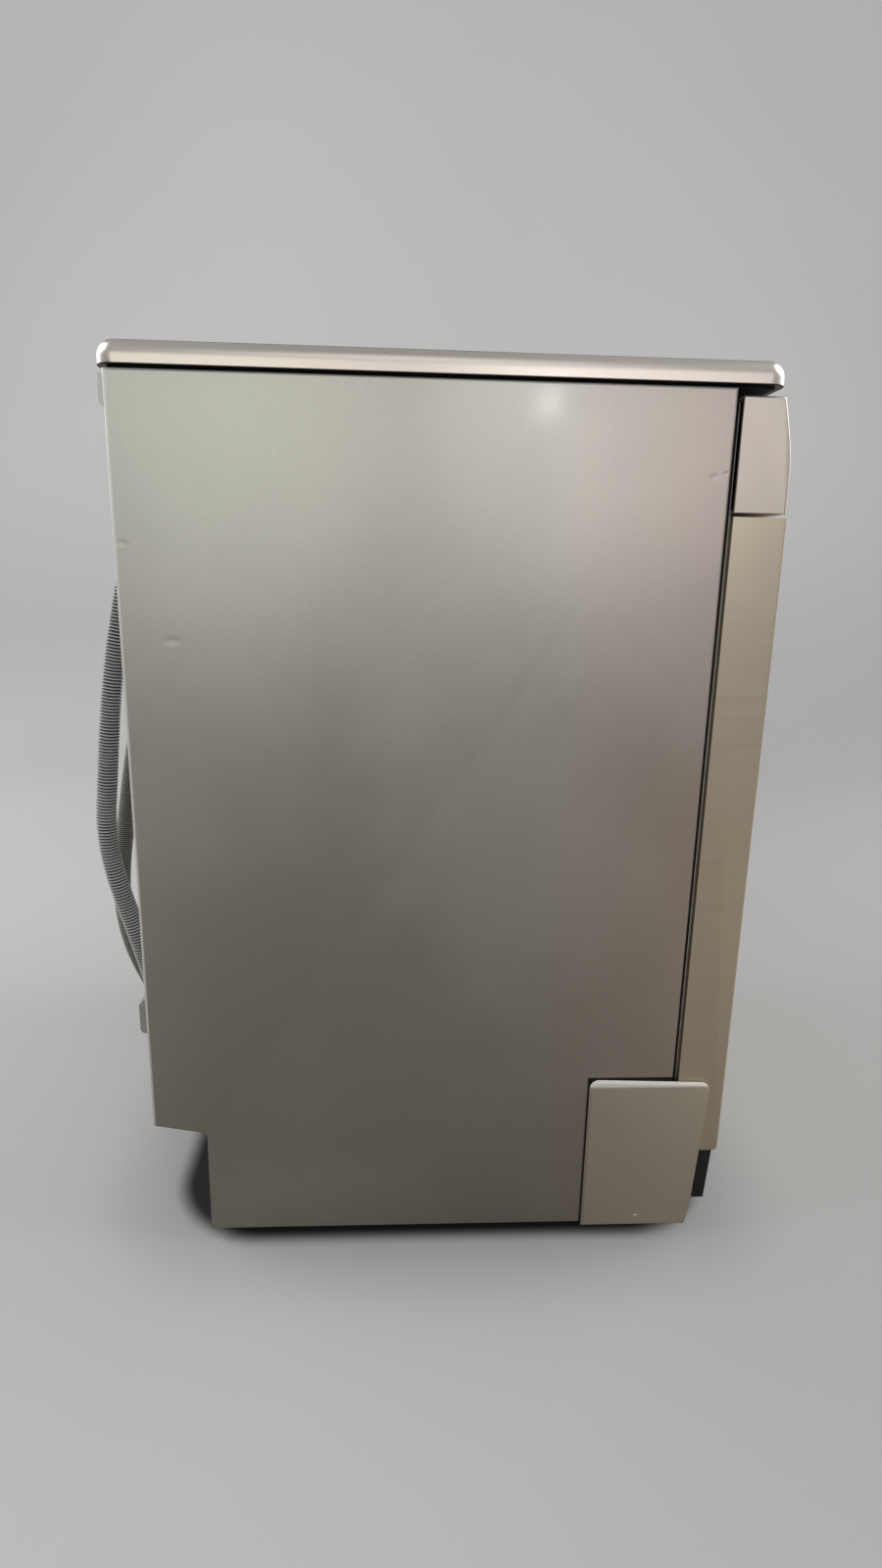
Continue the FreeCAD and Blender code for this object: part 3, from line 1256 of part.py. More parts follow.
for item in doc.Objects:
    if {"Invalid", "Error"} & set(item.State):
        raise RuntimeError(f"{item.Label} failed: {item.State}")
os.makedirs("parts", exist_ok=True)
for label, item in nodes.items():
    if item.Shape.isNull() or not item.Shape.isValid() or not item.Shape.Solids:
        raise RuntimeError(f"{label} has no sound solid")
for label, item in nodes.items():
    item.Shape.exportStep(f"parts/{label}.step")
print(f"{len(nodes)} sub-parts written")
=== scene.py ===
# Looks of a free-standing dishwasher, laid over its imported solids.
# Metres: X to the machine's right, -Y out of its door, Z up from the floor.
import json
import math

import bmesh
import bpy
import numpy as np
from mathutils import Matrix, Vector


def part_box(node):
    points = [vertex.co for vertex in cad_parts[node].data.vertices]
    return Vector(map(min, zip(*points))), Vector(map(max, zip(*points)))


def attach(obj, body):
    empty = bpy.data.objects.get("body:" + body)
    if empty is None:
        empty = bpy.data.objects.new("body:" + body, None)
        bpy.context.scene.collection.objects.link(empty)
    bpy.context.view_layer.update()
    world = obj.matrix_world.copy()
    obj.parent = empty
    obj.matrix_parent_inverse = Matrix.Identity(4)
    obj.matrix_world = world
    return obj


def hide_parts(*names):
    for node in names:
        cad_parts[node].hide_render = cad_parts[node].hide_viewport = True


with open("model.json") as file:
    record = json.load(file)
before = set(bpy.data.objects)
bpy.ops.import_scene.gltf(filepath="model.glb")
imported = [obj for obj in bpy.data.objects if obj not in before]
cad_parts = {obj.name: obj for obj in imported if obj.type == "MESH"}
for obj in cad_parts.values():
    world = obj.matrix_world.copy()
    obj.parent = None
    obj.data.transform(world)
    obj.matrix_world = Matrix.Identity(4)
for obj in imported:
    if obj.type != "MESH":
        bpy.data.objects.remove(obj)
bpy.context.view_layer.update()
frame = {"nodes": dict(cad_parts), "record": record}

scene = bpy.context.scene
scene.view_settings.view_transform = "Standard"
nodeBody = {node: body for body, group in frame["record"]["behaviour"]["bodies"].items() for node in group}
nodeSlot = {part["node"]: part["material_slot"] for part in frame["record"]["subparts"]}


# Camera: a wide lens to the left of the machine, level with its upper third, looking slightly down

view = {
    "place": (-1.0553, 0.046, 0.6759),
    "yaw": -3.119, "pitch": -13.958, "roll": 1.196,     # degrees
    "sensor": 36,                                       # millimetres, the picture's long side
    "focalShare": 0.55,                                 # focal length as a share of the long side
}


def setCamera():
    yaw, pitch, roll = (math.radians(view[name]) for name in ("yaw", "pitch", "roll"))
    ahead = Vector((math.cos(pitch) * math.cos(yaw), math.cos(pitch) * math.sin(yaw), math.sin(pitch)))
    level = Vector((math.sin(yaw), -math.cos(yaw), 0))
    upright = level.cross(ahead)
    right = math.cos(roll) * level + math.sin(roll) * upright
    up = math.cos(roll) * upright - math.sin(roll) * level
    data = bpy.data.cameras.new("view")
    data.sensor_width = view["sensor"]
    data.lens = view["focalShare"] * view["sensor"]
    camera = bpy.data.objects.new("view", data)
    turn = Matrix((right, up, -ahead)).transposed()
    camera.matrix_world = Matrix.Translation(view["place"]) @ turn.to_4x4()
    scene.collection.objects.link(camera)
    scene.camera = camera


setCamera()


# Materials

class Value:
    # a number socket: arithmetic on it adds Math nodes
    def __init__(self, finish, socket):
        self.finish, self.socket = finish, socket

    def work(self, operation, *others):
        return self.finish.add("ShaderNodeMath", {"operation": operation}, dict(enumerate((self, *others))))

    def __add__(self, other): return self.work("ADD", other)
    def __sub__(self, other): return self.work("SUBTRACT", other)
    def __mul__(self, other): return self.work("MULTIPLY", other)
    def __pow__(self, other): return self.work("POWER", other)
    def __mod__(self, other): return self.work("FLOORED_MODULO", other)
    def top(self, other): return self.work("MAXIMUM", other)
    def absolute(self): return self.work("ABSOLUTE")
    def sine(self): return self.work("SINE")

    def over(self, low, high, start=0.0, end=1.0, smooth=True):
        # from start to end while the number goes from low to high
        kind = "SMOOTHSTEP" if smooth else "LINEAR"
        return self.finish.add("ShaderNodeMapRange", {"interpolation_type": kind},
                               {"Value": self, "From Min": low, "From Max": high, "To Min": start, "To Max": end})

    def near(self, place, reach):
        # 1 at the place, falling to 0 at the reach
        return (self - place).absolute().over(0, reach, 1, 0)


class Finish:
    # a Principled material, its nodes added one call each. Its x, y and z are places in the resting machine.
    def __init__(self, name, roughness=0.5, **fixed):
        self.material = bpy.data.materials.new(name)
        self.material.use_nodes = True
        self.tree = self.material.node_tree
        self.shader = self.tree.nodes["Principled BSDF"]
        self.shader.inputs["Roughness"].default_value = roughness
        for socket, value in fixed.items():
            self.shader.inputs[socket.replace("_", " ")].default_value = value
        self.place = self.add("ShaderNodeTexCoord", {}, {}, "Object")
        self.x, self.y, self.z = (self.add("ShaderNodeSeparateXYZ", {}, {"Vector": self.place}, axis) for axis in "XYZ")

    def add(self, kind, settings, values, output=0):
        node = self.tree.nodes.new(kind)
        for name, value in settings.items():
            setattr(node, name, value)
        for name, value in values.items():
            self.give(node.inputs[name], value)
        return Value(self, node.outputs[output])

    def give(self, socket, value):
        if isinstance(value, Value):
            self.tree.links.new(value.socket, socket)
        elif hasattr(socket.default_value, "__len__"):
            socket.default_value = (*value, 1)[:len(socket.default_value)]
        else:
            socket.default_value = value

    def stretched(self, stretch):
        return self.add("ShaderNodeVectorMath", {"operation": "MULTIPLY"}, {0: self.place, 1: stretch})

    def noise(self, scale, detail=2.0, stretch=(1, 1, 1)):
        return self.add("ShaderNodeTexNoise", {},
                        {"Vector": self.stretched(stretch), "Scale": scale, "Detail": detail}, "Fac")

    def cells(self, scale, stretch=(1, 1, 1), output="Distance"):
        return self.add("ShaderNodeTexVoronoi", {}, {"Vector": self.stretched(stretch), "Scale": scale}, output)

    def chips(self, scale, channel, stretch=(1, 1, 1)):
        # flat cells, each with a number of its own: one channel of the cell's colour
        return self.add("ShaderNodeSeparateColor", {}, {"Color": self.cells(scale, stretch, "Color")}, channel)

    def mix(self, share, first, second, blend="MIX"):
        # the Mix node's colour sockets are its inputs 6 and 7 and its output 2
        return self.add("ShaderNodeMix", {"data_type": "RGBA", "blend_type": blend}, {0: share, 6: first, 7: second}, 2)

    def bump(self, height, depth, strength=1.0):
        # depth in metres for a height of 1
        self.give(self.shader.inputs["Normal"],
                  self.add("ShaderNodeBump", {}, {"Height": height, "Distance": depth, "Strength": strength}))

    def shade(self, **values):
        for socket, value in values.items():
            self.give(self.shader.inputs[socket.replace("_", " ")], value)
        return self


paintMetal = 0.85


def paintFinish(name, low, high, sparkle=0.05, roughness=0.36, coat=0.15):
    # metallic paint: fine sparkle, faint cloudiness, a little duller where the cloud lies
    finish = Finish(name, roughness, Metallic=paintMetal, Coat_Weight=coat, Coat_Roughness=0.12)
    finish.cloud = finish.noise(3.2, 4).over(0.3, 0.7)
    finish.grain = finish.chips(1500, "Red")
    fleck = finish.grain.over(0.0, 1.0, 1 - sparkle, 1 + sparkle, smooth=False)
    spark = finish.add("ShaderNodeCombineXYZ", {}, {"X": fleck, "Y": fleck, "Z": fleck})
    finish.paint = finish.mix(1.0, finish.mix(finish.cloud, low, high), spark, "MULTIPLY")
    return finish.shade(Base_Color=finish.paint,
                        Roughness=finish.cloud.over(0, 1, roughness - 0.03, roughness + 0.05))


def panelFinish():
    # the side panel's paint, pinker to the front, with a few shallow dents: each a place (y, z) and its reach
    dents = ((-0.222, 0.757, 0.006), (-0.232, 0.760, 0.004), (0.238, 0.612, 0.010), (0.275, 0.692, 0.007))
    dentDepth, dentHeight = 0.35, 0.6
    pink, green = (1.05, 0.955, 0.955), (0.99, 1.0, 0.995)
    # the pale colour is a painted highlight on the folded edges; the dark colour is painted shade under and round the
    # hinge cover
    edgeHighlightColour, paintedShadeColour = (0.97, 0.96, 0.91), (0.03, 0.029, 0.027)
    finish = paintFinish("panelPaint", (0.56, 0.545, 0.49), (0.62, 0.605, 0.55), coat=0.4)
    low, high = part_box("left_side_panel")
    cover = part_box("left_hinge_cover")[1]
    finish.paint = finish.mix(1.0, finish.paint, finish.mix(finish.y.over(-0.25, -0.02), pink, green), "MULTIPLY")
    # painted highlight: the folded edges are painted bright, and less metallic, along the back, the top and the bottom
    foldHighlight = finish.y.over(high[1] - 0.0032, high[1] - 0.0022)
    foldHighlight = foldHighlight.top(finish.z.over(high[2] - 0.0024, high[2] - 0.0012))
    foldHighlight = foldHighlight.top(finish.z.over(low[2] + 0.0008, low[2] + 0.0018, 0.7, 0))
    # painted shadow: what lies under the hinge cover, and a thin line round it, is painted dark
    near, far = 0.0008, 0.0030
    shade = finish.y.over(cover[1] + near, cover[1] + far, 1, 0) * finish.z.over(cover[2] + near, cover[2] + far, 1, 0)
    finish.shade(Base_Color=finish.mix(shade, finish.mix(foldHighlight, finish.paint, edgeHighlightColour), paintedShadeColour),
                 Metallic=foldHighlight.over(0, 1, paintMetal, 0.3))
    height = finish.noise(5.0, 3).over(0.2, 0.8) * 0.25 + finish.grain * 0.012
    for y, z, reach in dents:
        height = height - finish.y.near(y, reach) * finish.z.near(z, reach * dentHeight) * dentDepth
    finish.bump(height, 0.0012, 0.5)
    return finish


def worktopFinish():
    # the worktop's paint, duller on its flat upper face, with painted shade: near black on its underside
    gloss, dull, paintedShadeColour = 0.30, 0.55, (0.02, 0.019, 0.02)
    finish = paintFinish("worktopEdge", (0.83, 0.755, 0.675), (0.90, 0.82, 0.74), 0.03, gloss)
    low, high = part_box("worktop")
    flat = finish.z.over(high[2] - 0.0012, high[2] - 0.0001)
    # painted shade: the worktop's lowest millimetre or so is painted near black
    under = finish.z.over(low[2] + 0.0004, low[2] + 0.0012, 1, 0)
    return finish.shade(Base_Color=finish.mix(under, finish.paint, paintedShadeColour),
                        Roughness=flat.over(0, 1, gloss, dull) + finish.cloud * 0.05,
                        Metallic=flat.over(0, 1, paintMetal, 0.35))


def coverFinish():
    # the hinge cover's paint, with a painted highlight along its upper bevel, and a short pale mark low down
    pale = (0.98, 0.94, 0.87)
    finish = paintFinish("coverPaint", (0.84, 0.765, 0.665), (0.90, 0.825, 0.725), 0.02, 0.36)
    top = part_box("left_hinge_cover")[1][2]
    # painted highlight: the upper bevel is painted pale and not metallic; the mark low down is a real pale mark
    lip = finish.z.over(top - 0.0090, top - 0.0048)
    mark = finish.y.near(-0.208, 0.0045) * finish.z.near(0.025, 0.0014)
    bevelHighlightAndMark = lip.top(mark)
    return finish.shade(Base_Color=finish.mix(bevelHighlightAndMark, finish.paint, pale), Metallic=bevelHighlightAndMark.over(0, 1, paintMetal, 0.0))


def brushedFinish(name, low, high, along="level", roughness=0.34, metallic=0.9, depth=0.000012, **fixed):
    # long fine scratches: noise stretched along one axis, or level all round
    stretch = {"x": (0.02, 1, 1), "level": (0.02, 0.02, 1)}[along]
    finish = Finish(name, roughness, Metallic=metallic, **fixed)
    lines = finish.noise(900, 3, stretch)
    cloud = finish.noise(2.5, 3)
    finish.shade(Base_Color=finish.mix((lines * 0.4 + cloud * 0.6).over(0.2, 0.8), low, high),
                 Roughness=lines.over(0.3, 0.7, roughness - 0.02, roughness + 0.04))
    finish.bump(lines, depth)
    return finish


def mouldedFinish(name, low, high, grainSize=0.0007, roughness=0.48, depth=0.00005):
    # moulded plastic: fine leather grain and slow cloudiness
    finish = Finish(name, roughness)
    cloud = finish.noise(14, 4).over(0.3, 0.7)
    finish.shade(Base_Color=finish.mix(cloud, low, high),
                 Roughness=cloud.over(0, 1, roughness - 0.05, roughness + 0.07))
    finish.bump(finish.cells(1 / grainSize), depth, 0.6)
    return finish


def steelFinish():
    # thin stainless sheet: brushed across, with faint water marks
    finish = Finish("tubSteel", 0.3, Metallic=0.95)
    lines = finish.noise(420, 2, (0.03, 0.03, 1))
    marks = finish.noise(5, 1)
    finish.shade(Base_Color=finish.mix(lines.over(0.2, 0.8), (0.57, 0.57, 0.56), (0.65, 0.65, 0.63)),
                 Roughness=marks.over(0.2, 0.8, 0.33, 0.28))
    finish.bump(lines, 0.000008)
    return finish


def zincFinish():
    # zinc-coated sheet: crystal spangle in flat cells of slightly different grey
    finish = Finish("zincSheet", 0.42, Metallic=0.8)
    spangle = finish.chips(110, "Green", (1, 0.3, 1))
    fine = finish.noise(300, 2)
    finish.shade(Base_Color=finish.mix(spangle * 0.5 + fine * 0.5, (0.50, 0.51, 0.52), (0.58, 0.59, 0.59)),
                 Roughness=spangle.over(0, 1, 0.40, 0.46))
    finish.bump(fine, 0.00005)
    return finish


def boardFinish():
    # pressed board: packed chips in flat cells of brown, with painted shade: near black on its lower face and edge
    boardShade, boardShadeTop = (0.012, 0.012, 0.014), 0.8312
    finish = Finish("pressedBoard", 0.8)
    chips = finish.chips(420, "Blue", (1, 1, 3))
    # painted shade: below a set height the board is near black, above it the chips show
    aboveShade = finish.z.over(boardShadeTop, boardShadeTop + 0.001)
    finish.shade(Base_Color=finish.mix(aboveShade, boardShade, finish.mix(chips, (0.30, 0.20, 0.11), (0.62, 0.48, 0.31))))
    finish.bump(chips, 0.0003)
    return finish


def meshFinish(pitch=0.0021):
    # the filter's sheet: small round holes in square rows
    roughness, metallic = 0.32, 0.9
    finish = Finish("filterMesh", roughness, Metallic=metallic)
    turn = math.pi / pitch
    hole = ((finish.x * turn).sine().absolute() * (finish.y * turn).sine().absolute()).over(0.55, 0.75)
    sheet = finish.mix(finish.noise(20, 3), (0.52, 0.52, 0.51), (0.62, 0.62, 0.60))
    finish.shade(Base_Color=finish.mix(hole, sheet, (0.02, 0.02, 0.02)),
                 Metallic=hole.over(0, 1, metallic, 0.0), Roughness=hole.over(0, 1, roughness, 0.8))
    finish.bump(hole, 0.0003)
    return finish


def rubberFinish(name, tone):
    # rubber with pale dust, three times as light
    finish = Finish(name, 0.62)
    dust = finish.noise(60, 4).over(0.45, 0.75)
    finish.shade(Base_Color=finish.mix(dust, (tone, tone, tone), (tone * 3, tone * 3, tone * 2.8)),
                 Roughness=dust.over(0, 1, 0.55, 0.8))
    finish.bump(finish.noise(900, 2), 0.00006)
    return finish


def wireFinish():
    # nylon-coated wire: soft waxy grey, a little thicker here and there
    finish = Finish("coatedWire", 0.36, Coat_Weight=0.2)
    runs = finish.noise(45, 3).over(0.3, 0.7)
    finish.shade(Base_Color=finish.mix(runs, (0.40, 0.41, 0.42), (0.52, 0.53, 0.53)),
                 Roughness=runs.over(0, 1, 0.3, 0.42))
    finish.bump(finish.noise(260, 2), 0.0002, 0.5)
    return finish


def hoseFinish(name, crest, valley):
    # ribbed hose: painted shade makes it near black between the ribs, dusty on them. The piece's map runs one unit from
    # rib to rib.
    ribMiddle, ribReach, dusty = 0.5, 0.42, (0.50, 0.48, 0.43)
    finish = Finish(name, 0.45)
    across = finish.add("ShaderNodeSeparateXYZ", {}, {"Vector": finish.add("ShaderNodeUVMap", {}, {})}, "Y")
    ridge = (across % 1.0).near(ribMiddle, ribReach)
    dust = finish.noise(35, 4).over(0.35, 0.7)
    # painted shade: away from the rib crests the hose takes the dark valley colour
    finish.shade(Base_Color=finish.mix(ridge, valley, finish.mix(dust * 0.3, crest, dusty)),
                 Roughness=ridge.over(0, 1, 0.75, 0.42))
    finish.bump(finish.noise(700, 2), 0.00008)
    return finish


def glassFinish():
    # the dark display window, faintly smeared
    finish = Finish("smokedWindow", 0.08, Coat_Weight=0.6)
    smear = finish.noise(30, 3).over(0.4, 0.7)
    return finish.shade(Base_Color=finish.mix(smear, (0.012, 0.013, 0.016), (0.03, 0.032, 0.036)),
                        Roughness=smear.over(0, 1, 0.06, 0.16))


# a finish for each material slot
finishes = {
    "panel_metal": panelFinish(),
    "door_metal": brushedFinish("doorSteel", (0.72, 0.63, 0.49), (0.84, 0.74, 0.59), "level", 0.38, 0.8,
                                Coat_Weight=0.15, Coat_Roughness=0.25),
    "fascia": paintFinish("fasciaPaint", (0.74, 0.67, 0.60), (0.80, 0.73, 0.66), 0.03, 0.38),
    "top_edge": worktopFinish(),
    "board": boardFinish(),
    "cover_plastic": coverFinish(),
    "black_plastic": mouldedFinish("blackPlastic", (0.012, 0.013, 0.018), (0.022, 0.024, 0.03)),
    "grey_plastic": mouldedFinish("greyPlastic", (0.20, 0.20, 0.20), (0.26, 0.26, 0.25)),
    "pale_plastic": mouldedFinish("palePlastic", (0.52, 0.53, 0.52), (0.62, 0.62, 0.60)),
    "white_plastic": mouldedFinish("whitePlastic", (0.68, 0.68, 0.66), (0.76, 0.76, 0.73), 0.0009, 0.34),
    "inner_steel": steelFinish(),
    "sheet_steel": zincFinish(),
    "seal_rubber": rubberFinish("sealRubber", 0.03),
    "hose_plastic": hoseFinish("hoseGrey", (0.80, 0.81, 0.81), (0.045, 0.045, 0.045)),
    "cuff_rubber": rubberFinish("cuffRubber", 0.025),
    "coated_wire": wireFinish(),
    "window_glass": glassFinish(),
    "rinse_blue": mouldedFinish("rinseBlue", (0.06, 0.20, 0.42), (0.09, 0.27, 0.52), 0.0009, 0.3),
    "foot_plastic": mouldedFinish("footPlastic", (0.03, 0.03, 0.03), (0.05, 0.05, 0.05)),
}
# and for the nodes that differ from their slot
finishes |= {
    "filter_plate": meshFinish(),
    "rear_brackets": mouldedFinish("bracketPlastic", (0.80, 0.80, 0.77), (0.88, 0.88, 0.85)),
    "rear_clips": mouldedFinish("clipPlastic", (0.36, 0.365, 0.36), (0.44, 0.445, 0.435)),
    "inlet_hose": hoseFinish("hoseOlive", (0.55, 0.54, 0.47), (0.045, 0.043, 0.034)),
}
for button in ("power_button", "program_button", "start_button"):
    finishes[button] = brushedFinish(button + "Steel", (0.50, 0.48, 0.45), (0.62, 0.60, 0.57), "x", 0.28)
print("materials", len(finishes))


# Meshes from arrays

def turns(count):
    # even steps of one full turn
    return np.arange(count) * math.tau / count


def unit(ways):
    return ways / np.linalg.norm(ways, axis=1)[:, None]


def circles(path, radius, side, normal, sides):
    # a round row of points at each place of the path, spanned by two directions there
    turn = turns(sides)[:, None]
    spoke = np.cos(turn) * side[:, None] + np.sin(turn) * normal[:, None]
    return path[:, None] + np.broadcast_to(radius, len(path))[:, None, None] * spoke


class Shells:
    # gathers closed surfaces, each a grid of points, into one mesh
    def __init__(self):
        self.points, self.faces, self.maps, self.count = [], [], [], 0

    def surface(self, grid, ring=False, across=None):
        # rows of points, joined round each row. ring joins the last row to the first, and else both ends are capped.
        # across gives each row's place on the map's second axis.
        rows, sides = grid.shape[:2]
        index = np.arange(rows * sides).reshape(rows, sides) + self.count
        if ring:
            index = np.vstack([index, index[:1]])
        following = np.roll(index, -1, axis=1)
        quads = np.stack([index[:-1], following[:-1], following[1:], index[1:]], axis=-1).reshape(-1, 4)
        self.points.append(grid.reshape(-1, 3))
        self.faces += quads.tolist()
        self.count += rows * sides
        if not ring:
            self.faces += [index[0].tolist(), index[-1].tolist()]
        if across is not None:
            turn, shape = np.arange(sides) / sides, (rows - 1, sides)
            first, last = (np.broadcast_to(edge, shape) for edge in (turn, turn + 1 / sides))
            low, high = (np.broadcast_to(edge[:, None], shape) for edge in (across[:-1], across[1:]))
            self.maps.append(np.stack([first, low, last, low, last, high, first, high], axis=-1).reshape(-1, 2))
            self.maps.append(np.zeros((2 * sides, 2)))
        return self

    def tube(self, path, radius, normal, sides=8, ring=False):
        # a round bar along a flat path: circles spanned by the path's normal and its sideways direction
        ahead = np.roll(path, -1, axis=0) - np.roll(path, 1, axis=0) if ring else np.gradient(path, axis=0)
        side = np.cross(unit(ahead), np.asarray(normal, float))
        return self.surface(circles(path, radius, side, np.broadcast_to(normal, path.shape), sides), ring)

    def turned(self, profile, centre, axis=(0, 0, 1), sides=32):
        # a profile of (radius, height) pairs spun about an axis through the centre
        profile = np.asarray(profile, float)
        axis = Vector(axis).normalized()
        first = axis.orthogonal().normalized()
        second = axis.cross(first)
        turn = turns(sides)[:, None]
        spoke = np.cos(turn) * np.array(first) + np.sin(turn) * np.array(second)
        grid = np.array(centre) + profile[:, 1, None, None] * np.array(axis) + profile[:, 0, None, None] * spoke
        return self.surface(grid)

    def block(self, low, high, bevel=0.0005):
        # a box with its edges cut back: eight-sided rings that shrink at both ends
        low, high = np.array(low, float), np.array(high, float)
        cut = min(bevel, 0.45 * (high - low).min())
        rows = []
        for z, inset in ((low[2], cut), (low[2] + cut, 0), (high[2] - cut, 0), (high[2], cut)):
            (x0, y0), (x1, y1) = low[:2] + inset, high[:2] - inset
            rows.append([(x0 + cut, y0, z), (x1 - cut, y0, z), (x1, y0 + cut, z), (x1, y1 - cut, z),
                         (x1 - cut, y1, z), (x0 + cut, y1, z), (x0, y1 - cut, z), (x0, y0 + cut, z)])
        return self.surface(np.array(rows))

    def piece(self, name, body, slot, replaced=(), smooth=35):
        mesh = bpy.data.meshes.new(name)
        mesh.from_pydata(np.concatenate(self.points).tolist(), [], self.faces)
        if self.maps:
            layer = mesh.uv_layers.new(name="UVMap")
            layer.data.foreach_set("uv", np.concatenate(self.maps).ravel())
        return finished(name, mesh, body, slot, replaced, smooth)


def finished(name, mesh, body, slot, replaced=(), smooth=35, turnOut=True):
    # turns the faces outward, shades by angle, and joins the piece to its body.
    # A replaced node's own finish goes before its slot's.
    finish = next((finishes[node] for node in replaced if node in finishes), finishes[slot])
    mesh.materials.clear()
    mesh.materials.append(finish.material)
    if turnOut:
        shape = bmesh.new()
        shape.from_mesh(mesh)
        bmesh.ops.recalc_face_normals(shape, faces=shape.faces)
        shape.to_mesh(mesh)
        shape.free()
    mesh.shade_smooth()
    mesh.set_sharp_from_angle(angle=math.radians(smooth))
    piece = bpy.data.objects.new(name, mesh)
    scene.collection.objects.link(piece)
    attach(piece, body)
    if replaced:
        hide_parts(*replaced)
    return piece


# Hoses: ribbed tubes along one smooth curve each, from the base's outlets up, over and down to their end pieces

hoses = {
    "drain": {
        "route": [
            (-.150, .268, .082), (-.150, .290, .113), (-.150, .303, .152), (-.149, .313, .205), (-.150, .329, .270),
            (-.151, .350, .345), (-.150, .357, .398), (-.150, .350, .462), (-.151, .341, .545), (-.149, .326, .630),
            (-.138, .312, .695), (-.092, .302, .750), (-.018, .298, .777), (.062, .299, .775), (.136, .302, .745),
            (.181, .306, .688), (.191, .309, .616), (.190, .308, .540), (.187, .305, .465), (.190, .303, .390),
            (.189, .302, .318),
        ],
        "length": 1.379, "crest": 0.0105, "valley": 0.0086, "pitch": 0.0033,
        "node": "drain_hose", "end": "drain_hose_end", "farEnd": "connector",
    },
    "inlet": {
        "route": [
            (-.100, .268, .084), (-.100, .297, .128), (-.099, .331, .184), (-.100, .356, .245), (-.101, .362, .310),
            (-.100, .352, .385), (-.101, .338, .465), (-.099, .320, .545), (-.094, .306, .618), (-.066, .300, .676),
            (-.014, .297, .712), (.050, .297, .716), (.108, .300, .688), (.142, .303, .634), (.147, .306, .566),
            (.144, .305, .496), (.146, .303, .426), (.148, .302, .360), (.145, .301, .298),
        ],
        "length": 1.211, "crest": 0.0095, "valley": 0.0079, "pitch": 0.0024,
        "node": "inlet_hose", "end": "inlet_hose_nut", "farEnd": "fitting",
    },
}
# one rib: where its five rows stand along its pitch, and whether each is low (0) or on the crest (1)
ribPlaces, ribHeights = np.array([0, .2, .36, .64, .8]), np.array([0, 0, 1, 1, 0])


def curveThrough(name, route):
    # the places along the route's smooth curve, close together
    data = bpy.data.curves.new(name, "CURVE")
    data.dimensions = "3D"
    spline = data.splines.new("NURBS")
    spline.points.add(len(route) - 1)
    for point, place in zip(spline.points, route):
        point.co = (*place, 1)
    spline.order_u = 3
    spline.use_endpoint_u = True
    spline.resolution_u = 24
    carrier = bpy.data.objects.new(name, data)
    mesh = bpy.data.meshes.new_from_object(carrier)
    places = np.empty(len(mesh.vertices) * 3)
    mesh.vertices.foreach_get("co", places)
    bpy.data.objects.remove(carrier)
    bpy.data.meshes.remove(mesh)
    bpy.data.curves.remove(data)
    return places.reshape(-1, 3)


def at(distances, known, values):
    # vectors known at some distances along a line, read off at others
    return np.stack([np.interp(distances, known, values[:, axis]) for axis in range(3)], axis=1)


def ribbedHose(name, facts, sides=20, plain=0.018, samples=400):
    # plain is the smooth length at each end, halfway between valley and crest
    line = curveThrough(name, facts["route"])
    gone = np.concatenate([[0], np.cumsum(np.linalg.norm(np.diff(line, axis=0), axis=1))])
    length = gone[-1]
    ribs = round((length - 2 * plain) / facts["pitch"])
    pitch = (length - 2 * plain) / ribs
    count = (np.arange(ribs)[:, None] + ribPlaces).ravel()
    across = np.concatenate([[-1, -0.5], count, [ribs, ribs + 0.5, ribs + 1]])
    lift = np.concatenate([[.5, .5], np.tile(ribHeights, ribs), [0, .5, .5]])
    radius = facts["valley"] + (facts["crest"] - facts["valley"]) * lift
    step = plain * 0.9      # where the smooth length starts to meet the first rib
    distances = np.concatenate([[0, step], plain + count * pitch, [length - plain, length - step, length]])
    even = np.linspace(0, length, samples)
    ahead = unit(at(distances, even, np.gradient(at(even, gone, line), axis=0)))
    side = unit(np.array([0, 1, 0]) - ahead * ahead[:, 1:2])
    grid = circles(at(distances, gone, line), radius, side, np.cross(ahead, side), sides)
    hose = Shells().surface(grid, across=across).piece(name, "cabinet", "hose_plastic", [facts["node"]], smooth=50)


for label, facts in hoses.items():
    ribbedHose(f"{label}Hose", facts)
print("hoses")


# Racks: bent, coated wires. Each wire is a polyline whose corners are turned on a short parabola.

bothSides = (-1, 1)
armY = 0.007            # the spray arms, the top spray and the filter stand on this line
wires = {
    "gauge": 0.002, "rimGauge": 0.0024,
    "corner": 0.012, "hoopCorner": 0.028, "cornerSteps": 6, "tipSteps": 3,
    "lower": {"half": 0.252, "front": -0.220, "rear": 0.230, "floor": 0.173, "middle": 0.240, "rim": 0.302},
    "upper": {"half": 0.256, "front": -0.220, "rear": 0.220, "floor": 0.476, "middle": 0.542, "rim": 0.600},
    "across": 19, "acrossInset": 0.010, "along": 15, "alongInset": 0.014,
}
tines = {
    "places": -0.202 + 0.025 * np.arange(11), "barBefore": 0.030, "barAfter": 0.095,
    "rows": (-0.138, -0.058), "top": 0.255, "bar": 0.177,
    "foldRow": 0.062, "foldFoot": 0.182, "foldTop": 0.272,
    "upperPlaces": np.linspace(-0.2, 0.2, 9), "upperRows": (-0.13, 0.03, 0.13), "upperTop": 0.528, "upperLean": 0.12,
}
wheel = {"x": 0.257, "y": 0.18, "z": 0.1643}


def bentPath(corners, bend, closed=False):
    # each corner becomes a parabola between the points one bend before and after it,
    # which lie less than halfway to the next corners
    most, least = 0.49, 1e-9
    corners = np.asarray(corners, float)
    before, after = np.roll(corners, 1, axis=0) - corners, np.roll(corners, -1, axis=0) - corners
    reach = [np.minimum(bend / np.maximum(np.linalg.norm(way, axis=1), least), most) for way in (before, after)]
    start, end = corners + before * reach[0][:, None], corners + after * reach[1][:, None]
    share = np.linspace(0, 1, wires["cornerSteps"])[None, :, None]
    arcs = (1 - share) ** 2 * start[:, None] + 2 * share * (1 - share) * corners[:, None] + share ** 2 * end[:, None]
    if closed:
        return arcs.reshape(-1, 3)
    return np.vstack([corners[:1], arcs[1:-1].reshape(-1, 3), corners[-1:]])


